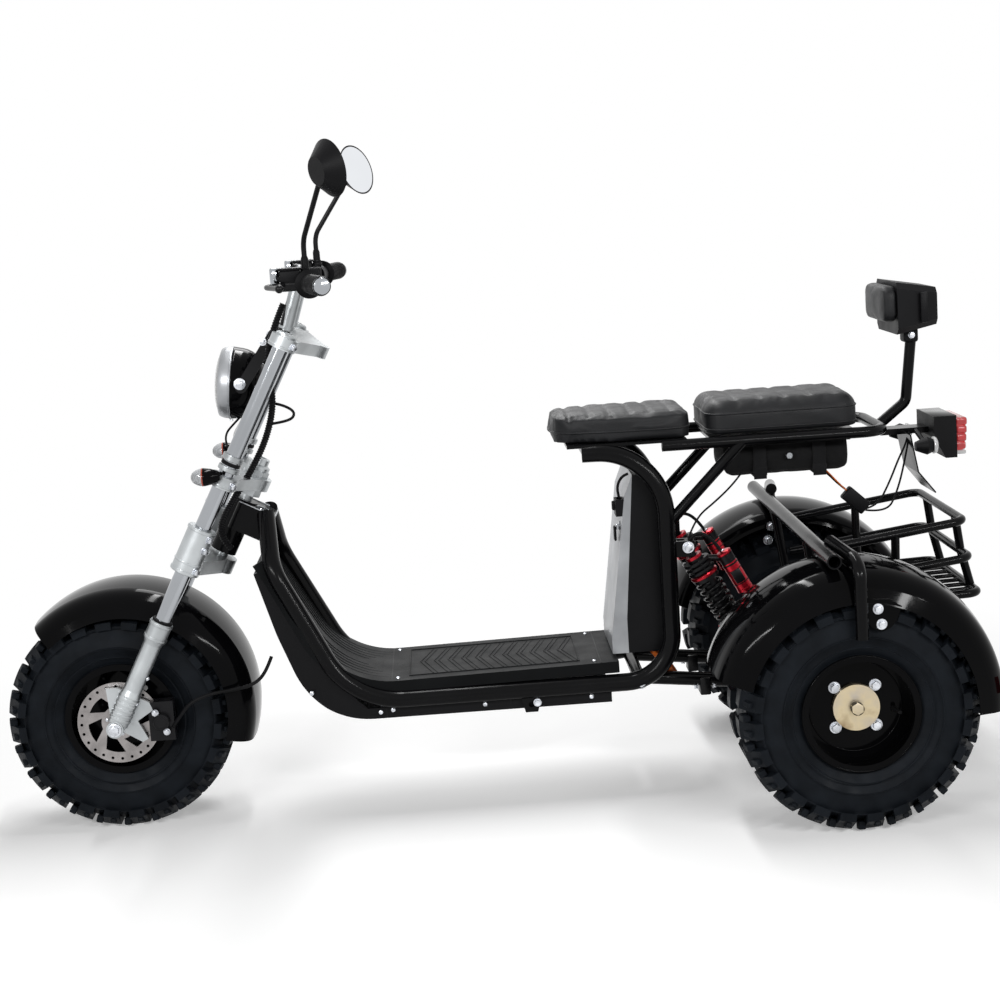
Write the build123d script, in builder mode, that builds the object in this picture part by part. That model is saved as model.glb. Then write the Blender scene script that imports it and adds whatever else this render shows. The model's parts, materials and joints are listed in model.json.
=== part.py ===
from build123d import *
import math
import os

os.makedirs("parts", exist_ok=True)

# An electric trike scooter: one steered wheel in front, two wheels on a swinging
# axle behind, a step-through tube frame, two seats and a wire basket.
# +X is forwards, +Y is the driver's left, +Z is up. The origin is on the ground
# below the middle of the overall length.

# Driving sizes of the whole vehicle
wheelbase = 1430.0
track = 700.0
tyre_r = 228.0
tyre_w = 212.0
tail_reach = 316.0
rake_deg = 28.0
fork_offset = 50.0
fork_half_w = 150.0
frame_half_w = 130.0
rail_z = 706.0
air = 0.3
run_clear = 0.05
overrun = 40.0

half_track = track / 2
rear_axle_x = -(wheelbase + tyre_r - tail_reach) / 2
front_axle_x = rear_axle_x + wheelbase
axle_z = tyre_r

# The fork's own frame: x is forwards across the legs, z runs up along them
rake_sin = math.sin(math.radians(rake_deg))
rake_cos = math.cos(math.radians(rake_deg))
fork_plane = Plane(
    origin=(front_axle_x, 0, axle_z),
    x_dir=(rake_cos, 0, rake_sin),
    z_dir=(-rake_sin, 0, rake_cos),
)


def at_axle(ahead, side, up):
    """A point given from the rear axle's line: ahead of it, to the side, above ground."""
    return Vector(rear_axle_x + ahead, side, up)


def at_front(ahead, side, up):
    """A point given from the front axle's line: ahead of it, to the side, above ground."""
    return Vector(front_axle_x + ahead, side, up)


def at_fork(ahead, side, along):
    """A point of the fork: ahead of the legs, to the side, and along them from the axle."""
    return fork_plane.from_local_coords(Vector(ahead, side, along))


def fork_level(along):
    """The plane across the fork's legs at a distance from the axle."""
    return fork_plane.offset(along)


def tube(points, bends, radius, bore=0.0):
    """A round bar, or a tube if it has a bore, along straight runs joined by bends."""
    with BuildPart() as bar:
        with BuildLine() as path:
            if bends:
                FilletPolyline(*points, radius=bends)
            else:
                Line(*points)
        with BuildSketch(path.line ^ 0):
            Circle(radius)
            if bore:
                Circle(bore, mode=Mode.SUBTRACT)
        sweep()
    return bar.part


def bends(points, share):
    """The largest even bends that a share of a route's shorter runs leaves room for."""
    radii = []
    for before, here, after in zip(points, points[1:], points[2:]):
        first = here - before
        second = after - here
        turn = math.radians(first.get_angle(second))
        radii.append(share * min(first.length, second.length) / math.tan(turn / 2))
    return radii


def finish(piece, name):
    """Label a finished piece and write it."""
    piece.part.label = name
    export_step(piece.part, "parts/" + name + ".step")


# Wheels. A wheel is drawn about +Z of its own plane, which points to its outer side.
bead_r = 104.0
casing_w_share = 0.96
knob_h = 11.0
knob_count = 24
knob_w_share = 0.60
knob_phase_share = 0.5
rim_flange_r = 113.0
rim_wall = 4.0
rim_w = 178.0
web_inset = 62.0
web_t = 6.0
hub_bolt_pcd = 110.0
hub_bolt_r = 6.0
hub_bolt_count = 4

casing_r = tyre_r - knob_h
casing_half_w = tyre_w * casing_w_share / 2
# the half section of the casing: (share of half width, share of the way bead to crown)
casing_shares = (
    (0.78, 0.0),
    (0.80, 0.09),
    (1.0, 0.42),
    (0.93, 0.78),
    (0.66, 0.97),
    (0.0, 1.0),
)
# the knobs' ring over the shoulder: the same columns, on the outer envelope
knob_shares = (
    (0.30, 1.0),
    (0.66, 1.0),
    (1.0, 0.80),
    (1.0, 0.68),
    (0.60, 0.80),
    (0.30, 0.80),
)


def wheel_plane(ahead, side, outer):
    """The plane of a wheel, square to its axle, its normal towards its outer side."""
    return Plane(origin=(rear_axle_x + ahead, side, axle_z), x_dir=(1, 0, 0), z_dir=(0, outer, 0))


def section_point(share_w, share_r, half_w, top_r):
    """A point of the tyre's section: radius first, then the place across the wheel."""
    return (bead_r + (top_r - bead_r) * share_r, half_w * share_w)


def tyre(plane):
    """A low-pressure tyre: a rounded casing with rows of blocks over both shoulders."""
    upper = [section_point(w, r, casing_half_w, casing_r) for w, r in casing_shares]
    lower = [(r, -w) for r, w in reversed(upper[:-1])]
    block = [section_point(w, r, tyre_w / 2, tyre_r) for w, r in knob_shares]
    mirror_block = [(r, -w) for r, w in block]
    spin = Plane(origin=plane.origin, x_dir=plane.x_dir, z_dir=-plane.y_dir)
    axis = Axis(plane.origin, plane.z_dir)
    pitch = 360.0 / knob_count
    with BuildPart() as ring:
        with BuildSketch(spin):
            with BuildLine():
                Polyline(*upper, *lower, close=True)
            make_face()
        revolve(axis=axis)
    with BuildPart() as first:
        with BuildSketch(spin):
            with BuildLine():
                Polyline(*block, close=True)
            make_face()
        revolve(axis=axis, revolution_arc=pitch * knob_w_share)
    with BuildPart() as second:
        with BuildSketch(spin):
            with BuildLine():
                Polyline(*mirror_block, close=True)
            make_face()
        revolve(axis=axis, revolution_arc=pitch * knob_w_share)
    blocks = []
    for turn in range(knob_count):
        blocks.append(first.part.rotate(axis, turn * pitch))
        blocks.append(second.part.rotate(axis, (turn + knob_phase_share) * pitch))
    with BuildPart() as body:
        add(ring.part)
        add(blocks)
    return body


def rim(plane, web_place, bore_r):
    """A pressed steel rim: a flanged barrel with a bolted web and a centre hole."""
    half = rim_w / 2
    barrel_r = bead_r - air - rim_wall
    spin = Plane(origin=plane.origin, x_dir=plane.x_dir, z_dir=-plane.y_dir)
    axis = Axis(plane.origin, plane.z_dir)
    outline = (
        (barrel_r, -half),
        (rim_flange_r, -half),
        (rim_flange_r, -half + rim_wall),
        (bead_r - air, -half + rim_wall),
        (bead_r - air, half - rim_wall),
        (rim_flange_r, half - rim_wall),
        (rim_flange_r, half),
        (barrel_r, half),
        (barrel_r, web_place + web_t / 2),
        (bore_r, web_place + web_t / 2),
        (bore_r, web_place - web_t / 2),
        (barrel_r, web_place - web_t / 2),
    )
    with BuildPart() as body:
        with BuildSketch(spin):
            with BuildLine():
                Polyline(*outline, close=True)
            make_face()
        revolve(axis=axis)
        with BuildSketch(plane.offset(web_place)):
            with PolarLocations(hub_bolt_pcd / 2, hub_bolt_count, start_angle=180 / hub_bolt_count):
                Circle(hub_bolt_r)
        extrude(amount=web_t, both=True, mode=Mode.SUBTRACT)
    return body


axle_r = 12.5
hub_disc_r = 44.5
hub_disc_t = 12.0
hub_body_r = 32.0
hub_spigot_r = 26.0
hub_body_len = 70.0
nut_t = 12.0
web_from_middle = rim_w / 2 - web_inset

for side_name, side in (("left", 1), ("right", -1)):
    plane = wheel_plane(0, side * half_track, side)
    rear_tyre = tyre(plane)
    finish(rear_tyre, "rear_tyre_" + side_name)
    rear_rim = rim(plane, web_from_middle, hub_spigot_r)
    finish(rear_rim, "rear_rim_" + side_name)
    with BuildPart() as rear_hub:
        with BuildSketch(plane.offset(web_from_middle + web_t / 2)):
            Circle(hub_disc_r)
            Circle(axle_r + run_clear, mode=Mode.SUBTRACT)
        extrude(amount=hub_disc_t)
        with BuildSketch(plane.offset(web_from_middle - web_t / 2)):
            Circle(hub_body_r)
            Circle(axle_r + run_clear, mode=Mode.SUBTRACT)
        extrude(amount=-hub_body_len)
        with BuildSketch(plane.offset(web_from_middle)):
            Circle(hub_spigot_r)
            Circle(axle_r + run_clear, mode=Mode.SUBTRACT)
        extrude(amount=web_t / 2, both=True)
    finish(rear_hub, "rear_hub_" + side_name)

# Front wheel, its hub and its brake disc on the left
disc_r = 83.0
disc_t = 4.0
disc_side = 114.0
disc_holes = 24
disc_hole_r = 3.0
disc_hole_row_share = 0.90
disc_window_count = 6
disc_window_in_share = 0.42
disc_window_out_share = 0.74
disc_window_fill_share = 0.62
front_axle_r = 9.0
front_hub_r = 30.0
front_hub_half = 112.0

front_plane = wheel_plane(wheelbase, 0, 1)
front_tyre = tyre(front_plane)
finish(front_tyre, "front_tyre")
front_barrel = rim(front_plane, 0, front_axle_r + run_clear)
with BuildPart() as front_rim:
    add(front_barrel.part)
    with BuildSketch(front_plane.offset(-front_hub_half)):
        Circle(front_hub_r)
        Circle(front_axle_r + run_clear, mode=Mode.SUBTRACT)
    extrude(amount=front_hub_half + disc_side - disc_t / 2)
finish(front_rim, "front_rim")
with BuildPart() as brake_disc:
    with BuildSketch(front_plane.offset(disc_side - disc_t / 2)):
        Circle(disc_r)
        Circle(front_axle_r + run_clear, mode=Mode.SUBTRACT)
        with PolarLocations(disc_r * disc_hole_row_share, disc_holes):
            Circle(disc_hole_r, mode=Mode.SUBTRACT)
    extrude(amount=disc_t)
    window_span = 360.0 / disc_window_count * disc_window_fill_share
    for turn in range(disc_window_count):
        start = turn * 360.0 / disc_window_count
        with BuildSketch(front_plane.offset(disc_side)):
            with BuildLine():
                outer_arc = CenterArc((0, 0), disc_r * disc_window_out_share, start, window_span)
                inner_arc = CenterArc(
                    (0, 0), disc_r * disc_window_in_share, start - window_span / 2, window_span
                )
                Line(outer_arc @ 0, inner_arc @ 0)
                Line(outer_arc @ 1, inner_arc @ 1)
            make_face()
        extrude(amount=disc_t, both=True, mode=Mode.SUBTRACT)
finish(brake_disc, "brake_disc")


# Fork: chrome tubes in silver sliders, held by three yokes
leg_r = 16.5
leg_low = 150.0
leg_top = 856.0
slider_top = 234.0
slider_collar = 36.0
slider_collar_r = 22.5
slider_taper = 12.0
slider_r = 18.5
slider_rib_top = 72.0
slider_rib_r = 21.0
slider_low = 8.0
boss_r = 17.0
boss_in = 21.0
boss_out = 22.0
axle_end = 8.0
stem_r = 13.0
yoke_r = 28.0
yoke_stem_r = 34.0
yoke_web = 22.0
low_yoke = 345.0
low_yoke_t = 30.0
low_collar_top = 440.0
mid_yoke = 530.0
mid_yoke_t = 24.0
top_yoke = 826.0
top_yoke_t = 24.0
stem_nut_r = 24.0
stem_nut_low = 512.0
stem_nut_top = 566.0

# Cords, by hand as (ahead of the front axle, side, height): the loom from the
# handlebar to the neck, and the brake hose from the belly tray to the caliper
loom_r = 8.0
hose_r = 3.5
loom_points = (
    (-396.0, 112.0, 1040.0),
    (-368.0, 112.0, 985.0),
    (-354.0, 110.0, 925.0),
    (-362.0, 102.0, 850.0),
    (-340.0, 90.0, 776.0),
    (-300.0, 79.0, 708.0),
    (-262.0, 71.0, 657.0),
    (-233.0, 66.0, 612.0),
    (-231.0, 66.0, 578.0),
    (-250.0, 66.0, 556.0),
)
hose_points = (
    (-312.0, 86.0, 334.0),
    (-300.0, 98.0, 306.0),
    (-278.0, 120.0, 288.0),
    (-240.0, 134.0, 283.0),
    (-194.0, 136.0, 280.0),
    (-150.0, 138.0, 266.0),
    (-128.0, 136.0, 240.0),
    (-108.0, 128.0, 214.0),
)
bend_share = 0.45
loom_route = [at_front(*point) for point in loom_points]
hose_route = [at_front(*point) for point in hose_points]

with BuildPart() as fork_tubes:
    with BuildSketch(fork_level(leg_low)):
        with Locations((0, fork_half_w), (0, -fork_half_w)):
            Circle(leg_r)
    extrude(amount=leg_top - leg_low)
finish(fork_tubes, "fork_tubes")

guard_skirt_half_w = 122.0
guard_lug_r = 10.0
slider_outline = (
    (leg_r + air, leg_low),
    (leg_r + air, slider_top),
    (slider_collar_r, slider_top),
    (slider_collar_r, slider_top - slider_collar),
    (slider_r, slider_top - slider_collar - slider_taper),
    (slider_r, slider_rib_top + slider_taper),
    (slider_rib_r, slider_rib_top),
    (slider_rib_r, slider_low),
    (0, slider_low),
    (0, leg_low),
)
with BuildPart() as fork_sliders:
    for side in (1, -1):
        leg_plane = Plane(
            origin=at_fork(0, side * fork_half_w, 0),
            x_dir=fork_plane.x_dir,
            z_dir=-fork_plane.y_dir,
        )
        with BuildSketch(leg_plane):
            with BuildLine():
                Polyline(*slider_outline, close=True)
            make_face()
        revolve(axis=Axis(leg_plane.origin, fork_plane.z_dir))
        boss_plane = Plane(
            origin=at_fork(0, side * fork_half_w, 0), x_dir=(1, 0, 0), z_dir=(0, side, 0)
        )
        with BuildSketch(boss_plane.offset(-boss_in)):
            Circle(boss_r)
        extrude(amount=boss_in + boss_out)
        with BuildSketch(boss_plane.offset(-boss_in)):
            Circle(front_axle_r + run_clear)
        extrude(amount=boss_in + boss_out, mode=Mode.SUBTRACT)
        lug_origin = at_fork(0, side * (guard_skirt_half_w + air), slider_top - slider_collar / 2)
        with BuildSketch(Plane(origin=lug_origin, x_dir=(1, 0, 0), z_dir=(0, side, 0))):
            Circle(guard_lug_r)
        extrude(amount=fork_half_w - guard_skirt_half_w - (leg_r + slider_collar_r) / 2)
finish(fork_sliders, "fork_sliders")

axle_reach = fork_half_w + boss_out + axle_end
with BuildPart() as front_axle:
    with BuildSketch(front_plane.offset(-axle_reach)):
        Circle(front_axle_r)
    extrude(amount=2 * axle_reach)
finish(front_axle, "front_axle")


def yoke(along, thick, nose):
    """A cast yoke: a collar round each leg and a web whose front edge runs to its nose."""
    with BuildPart() as cast:
        with BuildSketch(fork_level(along)):
            with Locations((0, fork_half_w), (0, -fork_half_w)):
                Circle(yoke_r)
            with Locations((-fork_offset, 0)):
                Circle(yoke_stem_r)
            with BuildLine():
                Polyline(
                    (yoke_web, fork_half_w),
                    (nose, riser_side),
                    (nose, -riser_side),
                    (yoke_web, -fork_half_w),
                    (-yoke_web, -fork_half_w),
                    (-yoke_web - fork_offset, -yoke_stem_r / 2),
                    (-yoke_web - fork_offset, yoke_stem_r / 2),
                    (-yoke_web, fork_half_w),
                    close=True,
                )
            make_face()
        extrude(amount=thick)
    return cast.part


riser_side = 60.0
riser_r = 12.0
riser_ahead = 8.0
yokes = [
    yoke(low_yoke, low_yoke_t, yoke_web - fork_offset),
    yoke(mid_yoke, mid_yoke_t, yoke_web - fork_offset),
    yoke(top_yoke, top_yoke_t, riser_ahead + riser_r),
]
with BuildPart() as fork_yokes:
    add(yokes)
    with BuildSketch(fork_level(low_yoke)):
        with Locations((0, fork_half_w), (0, -fork_half_w)):
            Circle(yoke_r)
    extrude(amount=low_collar_top - low_yoke)
    with BuildSketch(fork_level(low_yoke)):
        with Locations((-fork_offset, 0)):
            Circle(stem_r)
    extrude(amount=mid_yoke - low_yoke)
    with BuildSketch(fork_level(stem_nut_low)):
        with Locations((-fork_offset, 0)):
            RegularPolygon(stem_nut_r, 6)
    extrude(amount=stem_nut_top - stem_nut_low)
    with BuildSketch(fork_level(low_yoke)):
        with Locations((0, fork_half_w), (0, -fork_half_w)):
            Circle(leg_r)
    extrude(amount=leg_top - low_yoke, mode=Mode.SUBTRACT)
    add(tube(loom_route, bends(loom_route, bend_share), loom_r + air), mode=Mode.SUBTRACT)
finish(fork_yokes, "fork_yokes")

# Handlebar on two risers, with grips, levers and mirrors
bar_r = 11.0
bar_back = 425.0
bar_x = wheelbase - bar_back
bar_z = 1080.0
bar_half = 95.0
grip_half = 339.0
grip_in = 217.0
bar_sweep = 62.0
bar_bend_r = 90.0
riser_cap_r = 19.0
riser_cap_w = 34.0
grip_r = 17.0

bar_points = [
    at_axle(bar_x - bar_sweep, grip_half, bar_z),
    at_axle(bar_x, bar_half, bar_z),
    at_axle(bar_x, -bar_half, bar_z),
    at_axle(bar_x - bar_sweep, -grip_half, bar_z),
]
bar = tube(bar_points, (bar_bend_r, bar_bend_r), bar_r)
risers = [
    tube(
        [
            at_fork(riser_ahead, side * riser_side, top_yoke),
            at_axle(bar_x, side * riser_side, bar_z),
        ],
        (),
        riser_r,
    )
    for side in (1, -1)
]
with BuildPart() as handlebar:
    add(bar)
    add(risers)
    for side in (1, -1):
        with BuildSketch(
            Plane(origin=at_axle(bar_x, side * riser_side, bar_z), x_dir=(1, 0, 0), z_dir=(0, 1, 0))
        ):
            Circle(riser_cap_r)
        extrude(amount=riser_cap_w / 2, both=True)
    split(bisect_by=fork_level(top_yoke + top_yoke_t), keep=Keep.TOP)
finish(handlebar, "handlebar")


def bar_point(side_place):
    """A point on the swept part of the handlebar at a distance from the middle."""
    share = (abs(side_place) - bar_half) / (grip_half - bar_half)
    return at_axle(bar_x - bar_sweep * share, side_place, bar_z)


grip_bars = [
    tube([bar_point(side * grip_in), bar_point(side * grip_half)], (), grip_r, bar_r + air)
    for side in (1, -1)
]
with BuildPart() as grips:
    add(grip_bars)
finish(grips, "grips")

lever_clamp_side = 192.0
lever_clamp_r = 19.0
lever_clamp_w = 26.0
lever_r = 5.0
lever_ahead = 78.0
lever_ball_r = 8.0
cylinder_len = 46.0
cylinder_r = 13.0

lever_parts = []
for side in (1, -1):
    inner = bar_point(side * lever_clamp_side)
    outer = bar_point(side * grip_half)
    lever_parts.append(
        tube(
            [
                bar_point(side * (lever_clamp_side - lever_clamp_w / 2)),
                bar_point(side * (lever_clamp_side + lever_clamp_w / 2)),
            ],
            (),
            lever_clamp_r,
            bar_r + air,
        )
    )
    lever_parts.append(
        tube(
            [
                inner + Vector(lever_clamp_r - air, 0, 0),
                inner + Vector(cylinder_len, 0, 0),
            ],
            (),
            cylinder_r,
        )
    )
    lever_parts.append(
        tube(
            [
                inner + Vector(cylinder_len - cylinder_r, 0, 0),
                inner + Vector(lever_ahead, side * cylinder_len, 0),
                outer + Vector(lever_ahead, 0, 0),
            ],
            (cylinder_len,),
            lever_r,
        )
    )
with BuildPart() as brake_levers:
    add(lever_parts)
    for side in (1, -1):
        with Locations(bar_point(side * grip_half) + Vector(lever_ahead, 0, 0)):
            Sphere(lever_ball_r)
finish(brake_levers, "brake_levers")

mirror_r = 54.0
# Mirrors as they were turned: side, place behind the front axle, lean of the head in degrees
mirror_stations = ((1, 516.0, 9.0), (-1, 543.0, 15.0))
mirror_y = 300.0
mirror_z = 1292.0
mirror_turn_deg = 35.0
mirror_depth = 30.0
mirror_wall = 3.0
mirror_stem_side = 192.0
mirror_stem_r = 5.0
mirror_stem_kink = 62.0
mirror_stem_bend_r = 40.0
glass_t = 3.0

mirror_stems = []
mirror_planes = []
for side, mirror_back, lean_deg in mirror_stations:
    foot = bar_point(side * mirror_stem_side) + Vector(0, 0, lever_clamp_r)
    head = at_axle(wheelbase - mirror_back, side * mirror_y, mirror_z)
    facing = Vector(-1, 0, 0).rotate(Axis.Y, lean_deg).rotate(Axis.Z, side * mirror_turn_deg)
    mirror_planes.append(Plane(origin=head, x_dir=(0, 0, 1), z_dir=facing))
    mirror_stems.append(
        tube(
            [foot, foot + Vector(0, 0, mirror_stem_kink), head - facing * (mirror_depth / 2)],
            (mirror_stem_bend_r,),
            mirror_stem_r,
        )
    )
with BuildPart() as mirrors:
    for mirror_plane in mirror_planes:
        with BuildSketch(mirror_plane):
            Circle(mirror_r)
        with BuildSketch(mirror_plane.offset(-mirror_depth)):
            Circle(mirror_r / 2)
        loft()
    add(mirror_stems)
    for mirror_plane in mirror_planes:
        with BuildSketch(mirror_plane):
            Circle(mirror_r - mirror_wall)
        extrude(amount=-glass_t, mode=Mode.SUBTRACT)
finish(mirrors, "mirrors")
with BuildPart() as mirror_glasses:
    for mirror_plane in mirror_planes:
        with BuildSketch(mirror_plane.offset(-glass_t)):
            Circle(mirror_r - mirror_wall - air)
        extrude(amount=glass_t)
finish(mirror_glasses, "mirror_glasses")

# Headlamp: a bowl, a bright rim and a domed lens between two arms
lamp_back = 258.0
lamp_x = wheelbase - lamp_back
lamp_z = 885.0
lamp_tilt_deg = 7.0
lamp_r = 74.0
lamp_depth = 84.0
# bowl, as shares of its depth and radius: (depth, radius)
bowl_shares = ((0, 1), (0.3, 0.95), (0.6, 0.8), (0.85, 0.54), (1, 0.26))
lamp_rim_w = 16.0
lamp_rim_t = 9.0
lens_rise = 20.0
lamp_arm_side = 88.0
lamp_arm_t = 5.0
lamp_arm_w = 22.0
lamp_arm_seat = 26.0
lamp_pivot_back = 40.0
lamp_boss_r = 9.0

lamp_dir = Vector(
    math.cos(math.radians(lamp_tilt_deg)), 0, math.sin(math.radians(lamp_tilt_deg))
)
lamp_plane = Plane(origin=at_axle(lamp_x, 0, lamp_z), x_dir=(0, 1, 0), z_dir=lamp_dir)
with BuildPart() as headlamp_shell:
    for wall, build_mode in ((0, Mode.ADD), (lamp_rim_t, Mode.SUBTRACT)):
        for (near, wide), (far, narrow) in zip(bowl_shares, bowl_shares[1:]):
            with BuildSketch(lamp_plane.offset(-lamp_rim_w - near * (lamp_depth - wall))):
                Circle((lamp_r - air) * wide - wall)
            with BuildSketch(lamp_plane.offset(-lamp_rim_w - far * (lamp_depth - wall))):
                Circle((lamp_r - air) * narrow - wall)
            loft(mode=build_mode)
finish(headlamp_shell, "headlamp_shell")
with BuildPart() as headlamp_rim:
    with BuildSketch(lamp_plane.offset(-lamp_rim_w)):
        Circle(lamp_r)
        Circle(lamp_r - lamp_rim_t, mode=Mode.SUBTRACT)
    extrude(amount=lamp_rim_w)
finish(headlamp_rim, "headlamp_rim")
lens_ball_r = ((lamp_r - lamp_rim_t) ** 2 + lens_rise**2) / (2 * lens_rise)
with BuildPart() as headlamp_lens:
    with Locations(lamp_plane.offset(lens_rise - lens_ball_r)):
        Sphere(lens_ball_r)
    with BuildSketch(lamp_plane.offset(-glass_t)):
        Circle(lamp_r - lamp_rim_t - air)
    extrude(amount=lens_rise + glass_t + overrun, mode=Mode.INTERSECT)
finish(headlamp_lens, "headlamp_lens")

lamp_pivot = lamp_plane.offset(-lamp_pivot_back).origin
arm_foot = at_fork(lamp_arm_seat, 0, top_yoke + top_yoke_t / 2)
arm_run = lamp_pivot - arm_foot
arm_turn = math.degrees(math.atan2(arm_run.Z, arm_run.X))
pivot_share = (lamp_pivot_back - lamp_rim_w) / lamp_depth
bowl_r = lamp_r * math.sqrt(1 - pivot_share**2) - lamp_rim_t / 2
lamp_bosses = [
    tube(
        [
            lamp_pivot + Vector(0, side * bowl_r, 0),
            lamp_pivot + Vector(0, side * lamp_arm_side, 0),
        ],
        (),
        lamp_boss_r,
    )
    for side in (1, -1)
]
with BuildPart() as headlamp_bracket:
    for side in (1, -1):
        with BuildSketch(
            Plane(origin=(0, side * lamp_arm_side, 0), x_dir=(1, 0, 0), z_dir=(0, -1, 0))
        ):
            with Locations(((arm_foot.X + lamp_pivot.X) / 2, (arm_foot.Z + lamp_pivot.Z) / 2)):
                SlotCenterToCenter(arm_run.length, lamp_arm_w, rotation=arm_turn)
        extrude(amount=lamp_arm_t / 2, both=True)
    add(lamp_bosses)
    add(headlamp_shell.part, mode=Mode.SUBTRACT)
    add(fork_yokes.part, mode=Mode.SUBTRACT)
finish(headlamp_bracket, "headlamp_bracket")


# Front mudguard: a broad rounded crown with side skirts, over the tyre
guard_ahead = -14.0
guard_up = 8.0
guard_r = 260.0
guard_crown = 8.0
guard_half_w = 102.0
guard_skirt_r = 205.0
guard_t = 3.0
guard_round_r = 58.0
guard_front_deg = 48.0
guard_rear_deg = 197.0


def guard_face(plane, crown_r, rise, half_in, half_out, lip_in, lip_out, skin, rounds):
    """The section of a mudguard: a crown arc, rounded shoulders and a skirt on each side.

    Each lip is given as its radius and its place across the wheel, and rounds holds
    the outer radius of the inner and of the outer shoulder.
    """
    inward = math.copysign(skin, half_out - half_in)
    middle = (half_in + half_out) / 2
    with BuildSketch(plane) as face:
        with BuildLine():
            outer = ThreePointArc(
                (crown_r - rise, half_in), (crown_r, middle), (crown_r - rise, half_out)
            )
            inner = ThreePointArc(
                (crown_r - rise - skin, half_in + inward),
                (crown_r - skin, middle),
                (crown_r - rise - skin, half_out - inward),
            )
            Polyline(outer @ 0, lip_in, (lip_in[0], lip_in[1] + inward), inner @ 0)
            Polyline(outer @ 1, lip_out, (lip_out[0], lip_out[1] - inward), inner @ 1)
        make_face()
        for place, shift, radius in (
            (half_in, inward, rounds[0]),
            (half_out, -inward, rounds[1]),
        ):
            outer_corner = Vector(crown_r - rise, place)
            fillet(face.vertices().sort_by_distance(outer_corner)[0], radius)
            inner_corner = Vector(crown_r - rise - skin, place + shift)
            fillet(face.vertices().sort_by_distance(inner_corner)[0], radius - skin)
    return face


def arc_plane(plane, start_deg):
    """A plane through a wheel's axis whose x runs out from the axis at an angle."""
    turned = plane.x_dir.rotate(Axis(plane.origin, plane.z_dir), start_deg)
    return Plane(origin=plane.origin, x_dir=turned, z_dir=turned.cross(plane.z_dir))


front_guard_plane = Plane(
    origin=(front_axle_x + guard_ahead, 0, axle_z + guard_up), x_dir=(1, 0, 0), z_dir=(0, -1, 0)
)
guard_start = arc_plane(front_guard_plane, guard_front_deg)
guard_profile = guard_face(
    guard_start,
    guard_r,
    guard_crown,
    -guard_half_w,
    guard_half_w,
    (guard_skirt_r, -guard_skirt_half_w),
    (guard_skirt_r, guard_skirt_half_w),
    guard_t,
    (guard_round_r, guard_round_r),
)
with BuildPart() as front_mudguard:
    add(guard_profile.sketch)
    revolve(
        axis=Axis(front_guard_plane.origin, front_guard_plane.z_dir),
        revolution_arc=guard_rear_deg - guard_front_deg,
    )
finish(front_mudguard, "front_mudguard")

rear_guard_r = 282.7
rear_guard_crown = 14.0
guard_in_reach = 114.0
guard_out_reach = 90.0
lip_in_reach = 122.0
lip_out_reach = 113.0
rear_guard_in = half_track - guard_in_reach
rear_guard_out = half_track + guard_out_reach
rear_guard_lip_in = half_track - lip_in_reach
rear_guard_lip_in_r = 245.0
rear_guard_lip_out = half_track + lip_out_reach
rear_guard_lip_r = 215.0
rear_guard_round_in_r = 32.0
rear_guard_front_deg = 17.0
rear_guard_rear_deg = 183.0
for side_name, side in (("left", 1), ("right", -1)):
    guard_plane = Plane(
        origin=(rear_axle_x, 0, axle_z), x_dir=(1, 0, 0), z_dir=(0, -1, 0)
    )
    start = arc_plane(guard_plane, rear_guard_front_deg)
    profile = guard_face(
        start,
        rear_guard_r,
        rear_guard_crown,
        -side * rear_guard_in,
        -side * rear_guard_out,
        (rear_guard_lip_in_r, -side * rear_guard_lip_in),
        (rear_guard_lip_r, -side * rear_guard_lip_out),
        guard_t,
        (rear_guard_round_in_r, guard_round_r),
    )
    with BuildPart() as rear_mudguard:
        add(profile.sketch)
        revolve(
            axis=Axis(guard_plane.origin, guard_plane.z_dir),
            revolution_arc=rear_guard_rear_deg - rear_guard_front_deg,
        )
    finish(rear_mudguard, "rear_mudguard_" + side_name)


# Frame: two side tubes that run from the neck down, along the deck and up to the seat
tube_r = 18.0
deck_tube_z = 240.0
toe_back = 470.0
toe_x = wheelbase - toe_back
toe_half_w = 136.0
upright_x = 312.0
seat_end_x = 470.0
seat_end_half_w = 112.0
neck_side = 38.0
neck_along = 494.0
neck_ahead = -50.0
shoulder_along = 410.0
shoulder_ahead = -106.0
shoulder_half_w = 116.0
shoulder_bend_r = 90.0
toe_bend_r = 170.0
heel_bend_r = 95.0
top_bend_r = 130.0
head_tube_r = 27.0
head_above = 6.0
head_below = 110.0
head_low = neck_along - head_below
head_top = neck_along + head_above


def side_points(side):
    """The corners of one side tube, from the neck to the seat."""
    return [
        at_fork(neck_ahead - fork_offset, side * neck_side, neck_along),
        at_fork(shoulder_ahead - fork_offset, side * shoulder_half_w, shoulder_along),
        at_axle(toe_x, side * toe_half_w, deck_tube_z),
        at_axle(upright_x, side * frame_half_w, deck_tube_z),
        at_axle(upright_x, side * frame_half_w, rail_z),
        at_axle(seat_end_x, side * seat_end_half_w, rail_z),
    ]


side_bends = (shoulder_bend_r, toe_bend_r, heel_bend_r, top_bend_r)
side_tubes = {}
for side_name, side in (("left", 1), ("right", -1)):
    run = tube(side_points(side), side_bends, tube_r)
    side_tubes[side_name] = run
    with BuildPart() as frame_tube:
        add(run)
    finish(frame_tube, "frame_tube_" + side_name)

shock_side = 118.0
shock_top_x = 271.0
shock_top_z = 507.0
shock_foot_x = 141.0
shock_foot_z = 262.0
eye_r = 13.0
eye_w = 22.0
lug_t = 6.0
lug_back = 14.0
pivot_x = 380.0
pivot_z = 240.0
arm_side = 96.0

cross_r = 13.0
deck_bar_back = 590.0
deck_bar_share = 0.42
high_bar_z = 600.0
low_bar_z = 400.0
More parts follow.
